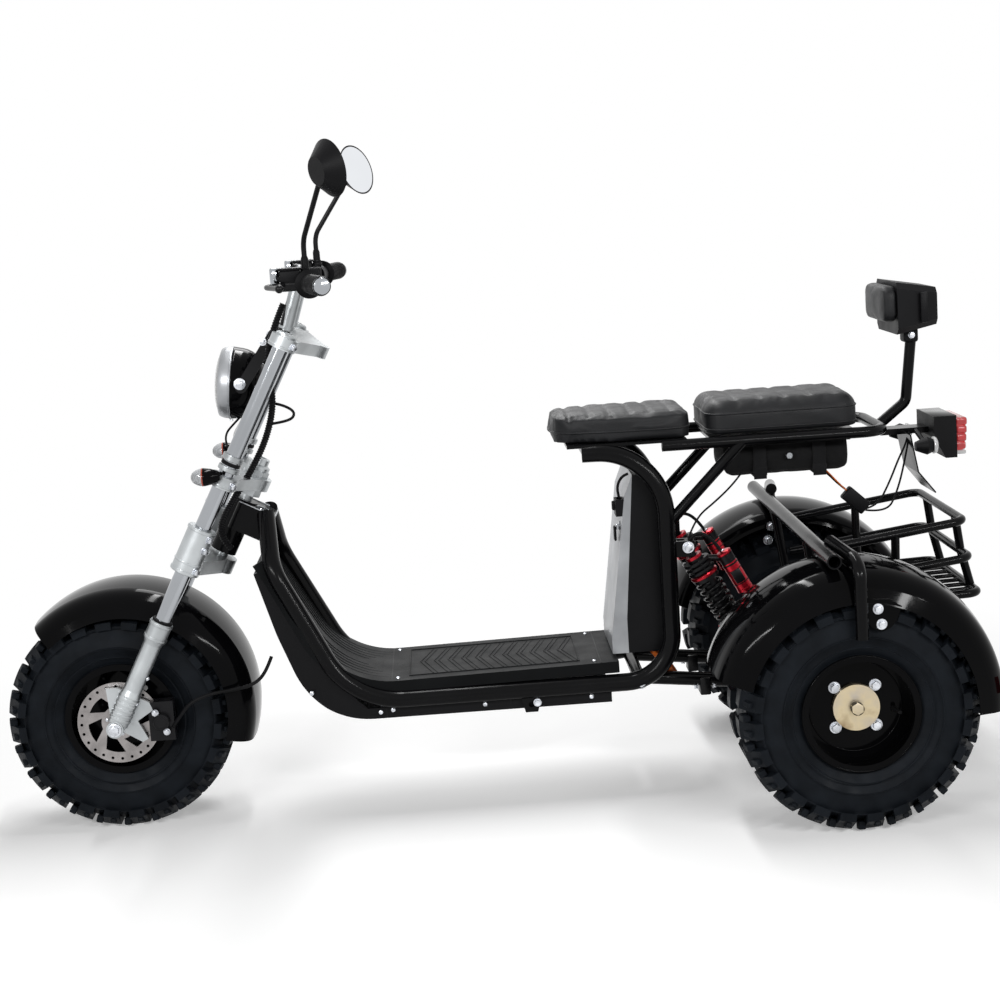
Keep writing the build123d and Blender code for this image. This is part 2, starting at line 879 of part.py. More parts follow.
# Cross members: (ahead of the axle, height, half reach)
cross_members = (
    (wheelbase - deck_bar_back, deck_tube_z, toe_half_w),
    (wheelbase * deck_bar_share, deck_tube_z, frame_half_w),
    (upright_x, high_bar_z, frame_half_w),
    (upright_x, low_bar_z, frame_half_w),
    (seat_end_x - cross_r, rail_z, seat_end_half_w + tube_r),
    (pivot_x, pivot_z, frame_half_w),
)
bite_share = 0.4
cross_bars = [
    tube(
        [
            at_axle(ahead, half - tube_r * bite_share, up),
            at_axle(ahead, tube_r * bite_share - half, up),
        ],
        (),
        cross_r,
    )
    for ahead, up, half in cross_members
]
pivot_bar = cross_bars[-1]


def shock_lugs(centre_x, centre_z, back_x, low_z, high_z):
    """A pair of cheeks and their back plate round each shock absorber's eye."""
    with BuildPart() as lugs:
        for side in (1, -1):
            middle = side * shock_side
            for cheek in (1, -1):
                cheek_side = middle + cheek * (eye_w + lug_t) / 2
                with BuildSketch(
                    Plane(origin=at_axle(0, cheek_side, 0), x_dir=(1, 0, 0), z_dir=(0, -1, 0))
                ):
                    with BuildLine():
                        Polyline(
                            (back_x, low_z),
                            (centre_x - eye_r, low_z),
                            (centre_x - eye_r, high_z),
                            (back_x, high_z),
                            close=True,
                        )
                    make_face()
                extrude(amount=lug_t / 2, both=True)
            with Locations(
                at_axle(back_x - lug_t / 2, middle, (low_z + high_z) / 2)
            ):
                Box(lug_t, eye_w + 2 * lug_t, high_z - low_z)
    return lugs.part


top_lugs = shock_lugs(
    shock_top_x, shock_top_z, upright_x - lug_back, shock_top_z - eye_r - lug_t, shock_top_z + eye_r
)
with BuildPart() as frame_crossmembers:
    add(cross_bars)
    add(top_lugs)
    add(list(side_tubes.values()), mode=Mode.SUBTRACT)
finish(frame_crossmembers, "frame_crossmembers")

# Stand bracket: a drilled plate below the left side tube
stand_side = 130.0
stand_t = 8.0
stand_x = (577.0, 627.0)
stand_low_z = 194.0
stand_hole_r = 6.0
stand_hole_up = 16.0
with BuildPart() as stand_bracket:
    with BuildSketch(
        Plane(
            origin=at_axle(sum(stand_x) / 2, stand_side + stand_t, deck_tube_z),
            x_dir=(1, 0, 0),
            z_dir=(0, -1, 0),
        )
    ):
        with BuildLine():
            Polyline(
                ((stand_x[0] - stand_x[1]) / 2, 0),
                ((stand_x[0] - stand_x[1]) / 4, stand_low_z - deck_tube_z),
                ((stand_x[1] - stand_x[0]) / 4, stand_low_z - deck_tube_z),
                ((stand_x[1] - stand_x[0]) / 2, 0),
                close=True,
            )
        make_face()
        with Locations((0, stand_low_z + stand_hole_up - deck_tube_z)):
            Circle(stand_hole_r, mode=Mode.SUBTRACT)
    extrude(amount=stand_t)
    add(list(side_tubes.values()), mode=Mode.SUBTRACT)
finish(stand_bracket, "stand_bracket")

# Neck: the head tube in a box between the side tubes
box_half_w = 45.0
box_back = 71.0
box_front = 10.0
box_above = 3.0
box_below = 54.0
box_top = neck_along + box_above
box_low = neck_along - box_below
with BuildPart() as neck:
    with BuildSketch(fork_level(head_low)):
        with Locations((-fork_offset, 0)):
            Circle(head_tube_r)
    extrude(amount=head_top - head_low)
    with BuildSketch(fork_level(box_low)):
        with Locations((-fork_offset - (box_back - box_front) / 2, 0)):
            RectangleRounded(box_back + box_front, 2 * box_half_w, box_front)
    extrude(amount=box_top - box_low)
    with BuildSketch(fork_level(head_low)):
        with Locations((-fork_offset, 0)):
            Circle(stem_r + run_clear)
    extrude(amount=head_top - head_low, mode=Mode.SUBTRACT)
    add(list(side_tubes.values()), mode=Mode.SUBTRACT)
finish(neck, "neck")

# Deck cover: a moulded skin that runs from the neck down the front and along the deck
cover_t = 14.0
cover_toe_back = 454.0
cover_toe_x = wheelbase - cover_toe_back
cover_toe_z = 277.0
cover_rear_x = 422.0
cover_rear_z = 286.0
cover_top_back = 312.0
cover_top_x = wheelbase - cover_top_back
cover_top_z = 535.0
cover_bend_r = 180.0
cover_half_w = 140.0
cover_shin_back = 380.0
cover_tip_half_w = 104.0
cover_edge_t = 8.0
cover_edge_drop = 9.0


def cover_layer(thick):
    """Layer of the cover of the given thickness below its upper face, as wide as the deck."""
    with BuildPart() as layer:
        with BuildSketch(Plane.XZ):
            with BuildLine():
                upper = FilletPolyline(
                    (rear_axle_x + cover_rear_x, cover_rear_z),
                    (rear_axle_x + cover_toe_x, cover_toe_z),
                    (rear_axle_x + cover_top_x, cover_top_z),
                    radius=cover_bend_r,
                )
                offset(upper, amount=thick, side=Side.RIGHT, closed=True)
            make_face()
        extrude(amount=cover_half_w, both=True)
    return layer.part


def cover_plan(inset):
    """Block of the cover's outline from above, drawn in by the inset at both sides."""
    with BuildPart() as plan:
        with BuildSketch():
            with BuildLine():
                edge = Polyline(
                    (rear_axle_x, 0),
                    (rear_axle_x, cover_half_w - inset),
                    (front_axle_x - cover_shin_back, cover_half_w - inset),
                    (front_axle_x - cover_top_back, cover_tip_half_w - inset),
                    (front_axle_x, cover_tip_half_w - inset),
                    (front_axle_x, 0),
                )
                mirror(edge, about=Plane.XZ)
            make_face()
        extrude(amount=rail_z)
    return plan.part


cover_edge = cover_layer(cover_t + cover_edge_drop) - cover_plan(cover_edge_t)
with BuildPart() as deck_cover:
    add(cover_layer(cover_t))
    add(cover_edge)
    add(cover_plan(0), mode=Mode.INTERSECT)
    add(list(side_tubes.values()), mode=Mode.SUBTRACT)
finish(deck_cover, "deck_cover")

# Belly tray: closed panels below the deck and in front of the shins
tray_half_w = 126.0
tray_tip_half_w = 94.0
tray_taper_back = 420.0
tray_corner_r = 12.0
tray_low_z = 200.0
tray_rear_x = 439.0
tray_top_z = deck_tube_z - tube_r - air
tray_toe_r = 165.0
tray_toe_back = 398.0
tray_shin_r = 300.0
tray_shin_back = 328.0
tray_shin_z = 380.0
tray_tip_back = 291.0
tray_tip_z = 506.0
tray_inner_back = 322.0
tray_inner_z = 516.0
tray_knee_back = 430.0
tray_knee_z = 290.0
tray_heel_back = 500.0
with BuildPart() as belly_tray:
    with BuildSketch(Plane.XZ):
        with BuildLine():
            skin = FilletPolyline(
                (rear_axle_x + tray_rear_x, tray_low_z),
                (front_axle_x - tray_toe_back, tray_low_z),
                (front_axle_x - tray_shin_back, tray_shin_z),
                (front_axle_x - tray_tip_back, tray_tip_z),
                radius=(tray_toe_r, tray_shin_r),
            )
            Polyline(
                skin @ 1,
                (front_axle_x - tray_inner_back, tray_inner_z),
                (front_axle_x - tray_knee_back, tray_knee_z),
                (front_axle_x - tray_heel_back, tray_top_z),
                (rear_axle_x + tray_rear_x, tray_top_z),
                skin @ 0,
            )
        make_face()
    extrude(amount=tray_half_w, both=True)
    with BuildSketch():
        with BuildLine():
            Polyline(
                (rear_axle_x + tray_rear_x, tray_half_w),
                (front_axle_x - tray_taper_back, tray_half_w),
                (front_axle_x - tray_tip_back, tray_tip_half_w),
                (front_axle_x - tray_tip_back, -tray_tip_half_w),
                (front_axle_x - tray_taper_back, -tray_half_w),
                (rear_axle_x + tray_rear_x, -tray_half_w),
                close=True,
            )
        make_face()
    extrude(amount=rail_z, mode=Mode.INTERSECT)
    add(deck_cover.part, mode=Mode.SUBTRACT)
    add(list(side_tubes.values()), mode=Mode.SUBTRACT)
finish(belly_tray, "belly_tray")

# Upright case for the electrics between the uprights, with a bright front panel
case_half_w = 100.0
case_low_z = 292.0
case_back_x = upright_x + cross_r + air
case_top_x = 372.0
case_top_z = 655.0
case_foot_x = 397.0
case_foot_z = 362.0
panel_top_x = 390.0
panel_top_z = 612.0
panel_foot_x = 430.0
panel_foot_z = 326.0
with BuildPart() as battery_case:
    with BuildSketch(Plane.XZ):
        with BuildLine():
            Polyline(
                (rear_axle_x + case_back_x, case_low_z),
                (rear_axle_x + case_foot_x, case_low_z),
                (rear_axle_x + case_foot_x, case_foot_z),
                (rear_axle_x + case_top_x, case_top_z),
                (rear_axle_x + case_back_x, case_top_z),
                close=True,
            )
        make_face()
    extrude(amount=case_half_w, both=True)
finish(battery_case, "battery_case")
with BuildPart() as case_panel:
    with BuildSketch(Plane.XZ):
        with BuildLine():
            Polyline(
                (rear_axle_x + case_foot_x + air, case_low_z),
                (rear_axle_x + panel_foot_x, case_low_z),
                (rear_axle_x + panel_foot_x, panel_foot_z),
                (rear_axle_x + panel_top_x, panel_top_z),
                (rear_axle_x + case_top_x + air, case_top_z),
                (rear_axle_x + case_foot_x + air, case_foot_z),
                close=True,
            )
        make_face()
    extrude(amount=case_half_w, both=True)
finish(case_panel, "case_panel")

# Seat rails: a hoop behind the uprights with a strut on each side
seat_rail_half_w = 125.0
seat_rail_z = 712.0
seat_rail_rear_x = -135.0
seat_rail_r = 11.0
seat_hoop_bend_r = 50.0
strut_top_x = 151.0
strut_foot_z = 552.0
pan_t = 6.0
rear_pan = (-80.0, 210.0)
front_pan = (262.0, 500.0)
hoop = tube(
    [
        at_axle(upright_x, seat_rail_half_w, seat_rail_z),
        at_axle(seat_rail_rear_x, seat_rail_half_w, seat_rail_z),
        at_axle(seat_rail_rear_x, -seat_rail_half_w, seat_rail_z),
        at_axle(upright_x, -seat_rail_half_w, seat_rail_z),
    ],
    (seat_hoop_bend_r, seat_hoop_bend_r),
    seat_rail_r,
)
struts = [
    tube(
        [
            at_axle(strut_top_x, side * seat_rail_half_w, seat_rail_z),
            at_axle(upright_x, side * frame_half_w, strut_foot_z),
        ],
        (),
        seat_rail_r,
    )
    for side in (1, -1)
]
seat_base_z = rail_z + tube_r + air
with BuildPart() as seat_frame:
    add(hoop)
    add(struts)
    with Locations(at_axle((rear_pan[0] + rear_pan[1]) / 2, 0, seat_rail_z)):
        Box(rear_pan[1] - rear_pan[0], 2 * seat_rail_half_w, pan_t)
    with Locations(
        at_axle((front_pan[0] + front_pan[1]) / 2, 0, seat_base_z - air - pan_t / 2)
    ):
        Box(front_pan[1] - front_pan[0], 2 * seat_rail_half_w, pan_t)
    add(cross_bars, mode=Mode.SUBTRACT)
    add(list(side_tubes.values()), mode=Mode.SUBTRACT)
finish(seat_frame, "seat_frame")

# Seats and bag: soft pieces
front_seat_back_x = 246.0
front_seat_nose_x = 535.0
front_seat_top_z = 780.0
front_seat_half_w = 122.0
front_seat_nose_half_w = 84.0
seat_round_r = 18.0
rear_seat_x = (-93.0, 228.0)
rear_seat_base_z = seat_rail_z + seat_rail_r + air
rear_seat_top_z = 792.0
rear_seat_half_w = 125.0
bag_x = (-75.0, 190.0)
bag_z = (632.0, seat_rail_z - pan_t / 2 - air)
bag_half_w = 80.0
with BuildPart() as front_seat:
    with BuildSketch(Plane.XY.offset(seat_base_z)):
        with BuildLine():
            Polyline(
                (rear_axle_x + front_seat_back_x, front_seat_half_w),
                (rear_axle_x + (front_seat_back_x + front_seat_nose_x) / 2, front_seat_half_w),
                (rear_axle_x + front_seat_nose_x, front_seat_nose_half_w),
                (rear_axle_x + front_seat_nose_x, -front_seat_nose_half_w),
                (rear_axle_x + (front_seat_back_x + front_seat_nose_x) / 2, -front_seat_half_w),
                (rear_axle_x + front_seat_back_x, -front_seat_half_w),
                close=True,
            )
        make_face()
    extrude(amount=front_seat_top_z - seat_base_z)
    fillet(front_seat.edges().filter_by(Axis.Z), seat_round_r)
    fillet(front_seat.edges().group_by(Axis.Z)[-1], seat_round_r)
finish(front_seat, "front_seat")
with BuildPart() as rear_seat:
    with Locations(
        at_axle(sum(rear_seat_x) / 2, 0, (rear_seat_base_z + rear_seat_top_z) / 2)
    ):
        Box(
            rear_seat_x[1] - rear_seat_x[0],
            2 * rear_seat_half_w,
            rear_seat_top_z - rear_seat_base_z,
        )
    fillet(rear_seat.edges().filter_by(Axis.Z), seat_round_r)
    fillet(rear_seat.edges().group_by(Axis.Z)[-1], seat_round_r)
finish(rear_seat, "rear_seat")
with BuildPart() as battery_bag:
    with Locations(at_axle(sum(bag_x) / 2, 0, sum(bag_z) / 2)):
        Box(bag_x[1] - bag_x[0], 2 * bag_half_w, bag_z[1] - bag_z[0])
    fillet(battery_bag.edges().filter_by(Axis.Z), tray_corner_r)
finish(battery_bag, "battery_bag")

# Swinging arm and rear axle
arm_r = 14.0
arm_z = 214.0
beam_r = 25.0
beam_inset = 58.0
beam_half = half_track - beam_inset
stub_half = half_track + web_from_middle + web_t / 2 + hub_disc_t + nut_t
drive_r = 78.0
drive_half_w = 62.0
arm_bend_r = 60.0
arm_bars = [
    tube(
        [
            at_axle(pivot_x, side * arm_side, pivot_z),
            at_axle(shock_foot_x, side * arm_side, arm_z),
            at_axle(0, side * arm_side, axle_z),
        ],
        (arm_bend_r,),
        arm_r,
    )
    for side in (1, -1)
]
beam = tube([at_axle(0, beam_half, axle_z), at_axle(0, -beam_half, axle_z)], (), beam_r)
stub = tube([at_axle(0, stub_half, axle_z), at_axle(0, -stub_half, axle_z)], (), axle_r)
arm_cross = tube(
    [at_axle(shock_foot_x, arm_side, arm_z), at_axle(shock_foot_x, -arm_side, arm_z)], (), arm_r
)
foot_lugs = shock_lugs(
    shock_foot_x, shock_foot_z, shock_foot_x + 2 * eye_r, arm_z - arm_r, shock_foot_z + eye_r
)
with BuildPart() as swingarm:
    add(arm_bars)
    add(arm_cross)
    add(foot_lugs)
    add(beam, mode=Mode.SUBTRACT)
    add(pivot_bar, mode=Mode.SUBTRACT)
finish(swingarm, "swingarm")
with BuildPart() as rear_axle:
    add(beam)
    add(stub)
    with BuildSketch(Plane(origin=at_axle(0, -drive_half_w, axle_z), x_dir=(1, 0, 0), z_dir=(0, 1, 0))):
        Circle(drive_r)
    extrude(amount=2 * drive_half_w)
finish(rear_axle, "rear_axle")

# Shock absorbers, their springs and piggyback reservoirs
damper_r = 16.0
rod_r = 7.0
spring_r = 27.0
spring_wire_r = 4.5
spring_turn_count = 7
spring_wire_sides_count = 6
spring_seat_share = 0.8
spring_top = 78.0
spring_low = 42.0
reservoir_r = 16.0
reservoir_len = 60.0
reservoir_back = 78.0
reservoir_down = 30.0
reservoir_cap = 9.0


def coil_spring(upper_seat, lower_seat):
    """A coil of faceted wire whose two ends bear on the seats."""
    run = lower_seat - upper_seat
    start = spring_wire_r * spring_seat_share
    rise = run.length - 2 * start
    seat_plane = Plane(origin=upper_seat, x_dir=(0, 1, 0), z_dir=run.normalized())
    turns = Helix(rise / spring_turn_count, rise, spring_r - spring_wire_r)
    path = turns.moved(seat_plane.offset(start).location)
    with BuildPart() as coil:
        with BuildSketch(path ^ 0):
            RegularPolygon(spring_wire_r, spring_wire_sides_count)
        sweep(path=path, is_frenet=True)
    return coil.part


damper_bars = []
springs = []
reservoirs = []
for side in (1, -1):
    top = at_axle(shock_top_x, side * shock_side, shock_top_z)
    foot = at_axle(shock_foot_x, side * shock_side, shock_foot_z)
    along = (foot - top).normalized()
    damper_bars.append(tube([top, foot], (), rod_r))
    damper_bars.append(
        tube([top + along * (eye_r + 2 * lug_t), top + along * spring_top], (), damper_r)
    )
    damper_bars.append(
        tube([top + along * (spring_top - reservoir_cap), top + along * spring_top], (), spring_r)
    )
    damper_bars.append(
        tube(
            [foot - along * (spring_low - reservoir_cap), foot - along * spring_low],
            (),
            spring_r,
        )
    )
    springs.append(coil_spring(top + along * spring_top, foot - along * spring_low))
    for end in (top, foot):
        damper_bars.append(
            tube([end + Vector(0, eye_w / 2, 0), end - Vector(0, eye_w / 2, 0)], (), eye_r)
        )
    cap = top + Vector(-reservoir_back, 0, -reservoir_down)
    damper_bars.append(tube([top + along * reservoir_down, cap], (), rod_r))
    damper_bars.append(tube([cap - along * reservoir_cap, cap + along * reservoir_cap], (), reservoir_r))
    reservoirs.append(
        tube(
            [cap + along * reservoir_cap, cap + along * (reservoir_cap + reservoir_len)],
            (),
            reservoir_r,
        )
    )
with BuildPart() as shocks:
    add(damper_bars)
finish(shocks, "shocks")
with BuildPart() as shock_springs:
    add(springs)
    add(damper_bars, mode=Mode.SUBTRACT)
finish(shock_springs, "shock_springs")
with BuildPart() as shock_reservoirs:
    add(reservoirs)
finish(shock_reservoirs, "shock_reservoirs")

# Rear bar: a cross tube over the mudguards with a leg down each side and posts on the axle
rear_bar_x = 43.0
rear_bar_r = 14.0
rear_bar_bore = 11.0
bar_overhang = 99.0
rear_bar_half = half_track + bar_overhang
leg_bar_r = 12.0
leg_bar_inset = 30.0
leg_bar_in = half_track - leg_bar_inset
leg_bar_top_z = 536.0
leg_bar_low_z = 380.0
leg_bar_x = 2.0
leg_bar_start_x = 24.0
leg_bar_bend_r = 40.0
post_inset = 166.0
post_side = half_track - post_inset
post_r = 10.0
leg_side = rear_guard_lip_out + air + leg_bar_r
bar_out = rear_guard_r + air + rear_bar_r
rear_bar_z = axle_z + math.sqrt(bar_out**2 - rear_bar_x**2)
bar_pieces = [
    tube(
        [at_axle(rear_bar_x, rear_bar_half, rear_bar_z), at_axle(rear_bar_x, -rear_bar_half, rear_bar_z)],
        (),
        rear_bar_r,
        rear_bar_bore,
    )
]
post_bars = []
for side in (1, -1):
    bar_pieces.append(
        tube(
            [
                at_axle(leg_bar_start_x, side * leg_bar_in, leg_bar_top_z),
                at_axle(leg_bar_x, side * leg_side, leg_bar_top_z - leg_bar_r),
                at_axle(leg_bar_x, side * leg_side, leg_bar_low_z),
            ],
            (leg_bar_bend_r,),
            leg_bar_r,
        )
    )
    post_bars.append(
        tube(
            [
                at_axle(0, side * post_side, axle_z),
                at_axle(rear_bar_x, side * post_side, rear_bar_z - rear_bar_r / 2),
            ],
            (),
            post_r,
        )
    )
rear_bar_core = tube(
    [at_axle(rear_bar_x, rear_bar_half, rear_bar_z), at_axle(rear_bar_x, -rear_bar_half, rear_bar_z)],
    (),
    rear_bar_bore,
)
with BuildPart() as rear_bar:
    add(bar_pieces)
    add(post_bars)
    add(rear_bar_core, mode=Mode.SUBTRACT)
    add(beam, mode=Mode.SUBTRACT)
finish(rear_bar, "rear_bar")

# Rack: three hoops that step down to a slatted floor
rack_r = 8.5
rack_bend_r = 26.0
slat_r = 4.5
slat_count = 7
rack_top_front_z = 493.0
rack_top_rear_z = 531.0
rack_top_rear_x = -270.0
rack_mid_front_z = 420.0
rack_mid_rear_z = 457.0
rack_mid_rear_x = -280.0
rack_floor_front_z = 372.0
rack_floor_rear_z = 382.0
rack_floor_rear_x = -299.0
rack_floor_inset = 10.0
# hoops: (front height, rear height, rear end ahead of the axle, half width)
hoops = (
    (rack_top_front_z, rack_top_rear_z, rack_top_rear_x, post_side),
    (rack_mid_front_z, rack_mid_rear_z, rack_mid_rear_x, post_side),
    (rack_floor_front_z, rack_floor_rear_z, rack_floor_rear_x, post_side - rack_floor_inset),
)
hoop_front_x = 12.0
side_post_x = -132.0
rear_post_side = 112.0
rack_bars = []
for front_z, rear_z, rear_x, half in hoops:
    rack_bars.append(
        tube(
            [
                at_axle(hoop_front_x, half, front_z),
                at_axle(rear_x, half, rear_z),
                at_axle(rear_x, -half, rear_z),
                at_axle(hoop_front_x, -half, front_z),
            ],
            (rack_bend_r, rack_bend_r),
            rack_r,
        )
    )


def hoop_height(hoop, ahead):
    """The height of a hoop's side at a distance ahead of the axle."""
    front_z, rear_z, rear_x, _ = hoop
    return front_z + (rear_z - front_z) * (hoop_front_x - ahead) / (hoop_front_x - rear_x)


for side in (1, -1):
    rack_bars.append(
        tube(
            [
                at_axle(side_post_x, side * hoops[0][3], hoop_height(hoops[0], side_post_x)),
                at_axle(side_post_x, side * hoops[2][3], hoop_height(hoops[2], side_post_x)),
            ],
            (),
            rack_r,
        )
    )
    rack_bars.append(
        tube(
            [
                at_axle(hoops[0][2], side * rear_post_side, hoops[0][1]),
                at_axle(hoops[1][2], side * rear_post_side, hoops[1][1]),
            ],
            (),
            rack_r,
        )
    )
    rack_bars.append(
        tube(
            [
                at_axle(hoops[1][2], side * rear_post_side, hoops[1][1]),
                at_axle(hoops[2][2], side * rear_post_side, hoops[2][1]),
            ],
            (),
            rack_r,
        )
    )
rack_bars.append(
    tube(
        [
            at_axle(hoop_front_x, hoops[2][3], hoops[2][0]),
            at_axle(hoop_front_x, -hoops[2][3], hoops[2][0]),
        ],
        (),
        rack_r,
    )
)
for slat in range(slat_count):
    slat_side = hoops[2][3] * (2 * (slat + 1) / (slat_count + 1) - 1)
    rack_bars.append(
        tube(
            [
                at_axle(hoop_front_x, slat_side, hoops[2][0]),
                at_axle(hoops[2][2], slat_side, hoops[2][1]),
            ],
            (),
            slat_r,
        )
    )
with BuildPart() as rack:
    add(rack_bars)
    add(post_bars, mode=Mode.SUBTRACT)
    add(bar_pieces, mode=Mode.SUBTRACT)
finish(rack, "rack")

# Backrest on a cranked post, with the tail lamp and plate bracket below it
backrest_r = 11.0
backrest_foot_z = 706.0
backrest_crank_x = -205.0
backrest_crank_z = 752.0
backrest_top_x = -222.0
backrest_top_z = 905.0
backrest_bend_r = 24.0
pad_z = (922.0, 992.0)
pad_half_w = 100.0
pad_round_r = 12.0
shell_x = (-256.0, -173.0)
pad_x = (shell_x[1] + air, -138.0)
shell_z = (896.0, 1000.0)
shell_half_w = 92.0
shell_chamfer = 30.0
lamp_bar_z = 694.0
tail_x = (-290.0, -244.0)
tail_z = (640.0, 725.0)
tail_half_w = 70.0
lens_x = -316.0
lens_z = (643.0, 720.0)
lens_half_w = 66.0
plate_t = 3.0
plate_half_w = 60.0
plate_top_x = -200.0
plate_top_z = 690.0
plate_knee_x = -214.0
plate_knee_z = 614.0
plate_foot_x = -248.0
plate_foot_z = 570.0
arm_half_w = 24.0
with BuildPart() as tail_lamp:
    with BuildSketch(Plane.XZ):
        with BuildLine():
            Polyline(
                (rear_axle_x + tail_x[0], tail_z[1]),
                (rear_axle_x + tail_x[1], tail_z[1]),
                (rear_axle_x + tail_x[1], (tail_z[0] + tail_z[1]) / 2),
                (rear_axle_x + (tail_x[0] + tail_x[1]) / 2, tail_z[0]),
                (rear_axle_x + tail_x[0], tail_z[0]),
                close=True,
            )
        make_face()
    extrude(amount=tail_half_w, both=True)
finish(tail_lamp, "tail_lamp")
with BuildPart() as tail_lens:
    with BuildSketch(Plane.XZ):
        with BuildLine():
            Polyline(
                (rear_axle_x + tail_x[0] - air, lens_z[1]),
                (rear_axle_x + tail_x[0] - air, lens_z[0]),
                (rear_axle_x + lens_x, lens_z[0]),
                (rear_axle_x + lens_x, lens_z[1] - pad_round_r),
                close=True,
            )
        make_face()
    extrude(amount=lens_half_w, both=True)
finish(tail_lens, "tail_lens")

backrest_bar = tube(
    [
        at_axle(seat_rail_rear_x - seat_rail_r, 0, backrest_foot_z),
        at_axle(backrest_crank_x, 0, backrest_crank_z),
        at_axle(backrest_top_x, 0, backrest_top_z),
    ],
    (backrest_bend_r,),
    backrest_r,
)
with BuildPart() as backrest_post:
    add(backrest_bar)
    with Locations(
        at_axle((seat_rail_rear_x - seat_rail_r + tail_x[1]) / 2, 0, lamp_bar_z)
    ):
        Box(seat_rail_rear_x - seat_rail_r - tail_x[1], 2 * arm_half_w, lug_t * 2)
    with BuildSketch(Plane.XZ):
        with BuildLine():
            plate_run = Polyline(
                (rear_axle_x + plate_top_x, plate_top_z),
                (rear_axle_x + plate_knee_x, plate_knee_z),
                (rear_axle_x + plate_foot_x, plate_foot_z),
            )
            offset(plate_run, amount=plate_t, side=Side.LEFT, closed=True)
        make_face()
    extrude(amount=plate_half_w, both=True)
    add(seat_frame.part, mode=Mode.SUBTRACT)
finish(backrest_post, "backrest_post")
with BuildPart() as backrest_shell:
    with BuildSketch(Plane.YZ.offset(rear_axle_x + shell_x[0])):
        with Locations((0, sum(shell_z) / 2)):
            Rectangle(2 * (shell_half_w - shell_chamfer / 2), shell_z[1] - shell_z[0] - shell_chamfer)
        chamfer(vertices(), pad_round_r)
    with BuildSketch(Plane.YZ.offset(rear_axle_x + shell_x[1])):
        with Locations((0, sum(shell_z) / 2)):
            Rectangle(2 * shell_half_w, shell_z[1] - shell_z[0])
        chamfer(vertices(), pad_round_r)
    loft()
    add(backrest_bar, mode=Mode.SUBTRACT)
finish(backrest_shell, "backrest_shell")
with BuildPart() as backrest_pad:
    with Locations(at_axle(sum(pad_x) / 2, 0, sum(pad_z) / 2)):
        Box(pad_x[1] - pad_x[0], 2 * pad_half_w, pad_z[1] - pad_z[0])
    fillet(backrest_pad.edges().filter_by(Axis.X), pad_round_r)
finish(backrest_pad, "backrest_pad")

# Turn signals, each a bullet on a short stalk
signal_r = 18.0
signal_tip_r = 9.0
signal_len = 46.0
signal_stalk_r = 5.0
rear_signal_side = 110.0
rear_signal_x = -218.0
rear_signal_z = 674.0
front_signal_along = 560.0
front_signal_side = 190.0
front_signal_ahead = 34.0


def signal(centre, forwards, root):
    """One turn signal: a tapered bowl along the vehicle and a stalk to its root."""
    bowl = Plane(origin=centre, x_dir=(0, 1, 0), z_dir=(forwards, 0, 0))
    stalk = tube([centre, root], (), signal_stalk_r)
    with BuildPart() as lamp:
        with BuildSketch(bowl.offset(-signal_len / 2)):
            Circle(signal_tip_r)
        with BuildSketch(bowl):
            Circle(signal_r)
        loft()
        with BuildSketch(bowl):
            Circle(signal_r)
        with BuildSketch(bowl.offset(signal_len / 2)):
            Circle(signal_tip_r)
        loft()
        add(stalk)
    return lamp.part


rear_signals = [
    signal(
        at_axle(rear_signal_x, side * rear_signal_side, rear_signal_z),
        -1,
        at_axle(rear_signal_x, side * arm_half_w, lamp_bar_z),
    )
    for side in (1, -1)
]
with BuildPart() as rear_indicators:
    add(rear_signals)
    add(backrest_post.part, mode=Mode.SUBTRACT)
finish(rear_indicators, "rear_indicators")
front_signals = []
for side in (1, -1):
    leg = at_fork(0, side * fork_half_w, front_signal_along)
    front_signals.append(
        signal(leg + Vector(front_signal_ahead + signal_r / 2, side * (front_signal_side - fork_half_w), 0), 1, leg)
    )
with BuildPart() as front_indicators:
    add(front_signals)
    add(fork_tubes.part, mode=Mode.SUBTRACT)
    add(fork_yokes.part, mode=Mode.SUBTRACT)
finish(front_indicators, "front_indicators")

# Front brake: a bracket on the left slider carries the caliper over the disc's rear edge
bracket_side = 121.0
bracket_t = 8.0
caliper_in = 62.0
caliper_out = 112.0
caliper_half_h = 40.0
caliper_low_side = 99.0
caliper_high_side = 129.0
caliper_slot = 14.0
caliper_boss_r = 16.0
caliper_boss_t = 10.0
bracket_reach = 74.0
# the bracket's corners about the axle, as shares of its reach: (ahead, up)
bracket_shares = (
    (0.24, 1.0),
    (-0.08, 1.0),
    (-0.89, 0.54),
    (-0.97, 0.32),
    (-0.54, 0.05),
    (-0.78, -0.46),
    (-0.62, -0.54),
    (0.16, -0.05),
)
with BuildPart() as caliper_bracket:
    with BuildSketch(
        Plane(origin=(front_axle_x, bracket_side, axle_z), x_dir=(1, 0, 0), z_dir=(0, -1, 0))
    ):
        with BuildLine():
            Polyline(*[(bracket_reach * x, bracket_reach * z) for x, z in bracket_shares], close=True)
        make_face()
        Circle(front_axle_r + run_clear, mode=Mode.SUBTRACT)
    extrude(amount=-bracket_t)
    add(front_axle.part, mode=Mode.SUBTRACT)
finish(caliper_bracket, "caliper_bracket")
with BuildPart() as brake_caliper:
    with Locations(
        (
            front_axle_x - (caliper_in + caliper_out) / 2,
            (caliper_low_side + caliper_high_side) / 2,
            axle_z,
        )
    ):
        Box(caliper_out - caliper_in, caliper_high_side - caliper_low_side, 2 * caliper_half_h)
    with Locations((front_axle_x, disc_side, axle_z)):
        Cylinder(disc_r + caliper_slot / 2, caliper_slot, rotation=(90, 0, 0), mode=Mode.SUBTRACT)
    with BuildSketch(
        Plane(
            origin=(front_axle_x - (caliper_in + caliper_out) / 2, caliper_high_side, axle_z),
            x_dir=(1, 0, 0),
            z_dir=(0, 1, 0),
        )
    ):
        Circle(caliper_boss_r)
    extrude(amount=caliper_boss_t)
    add(caliper_bracket.part, mode=Mode.SUBTRACT)
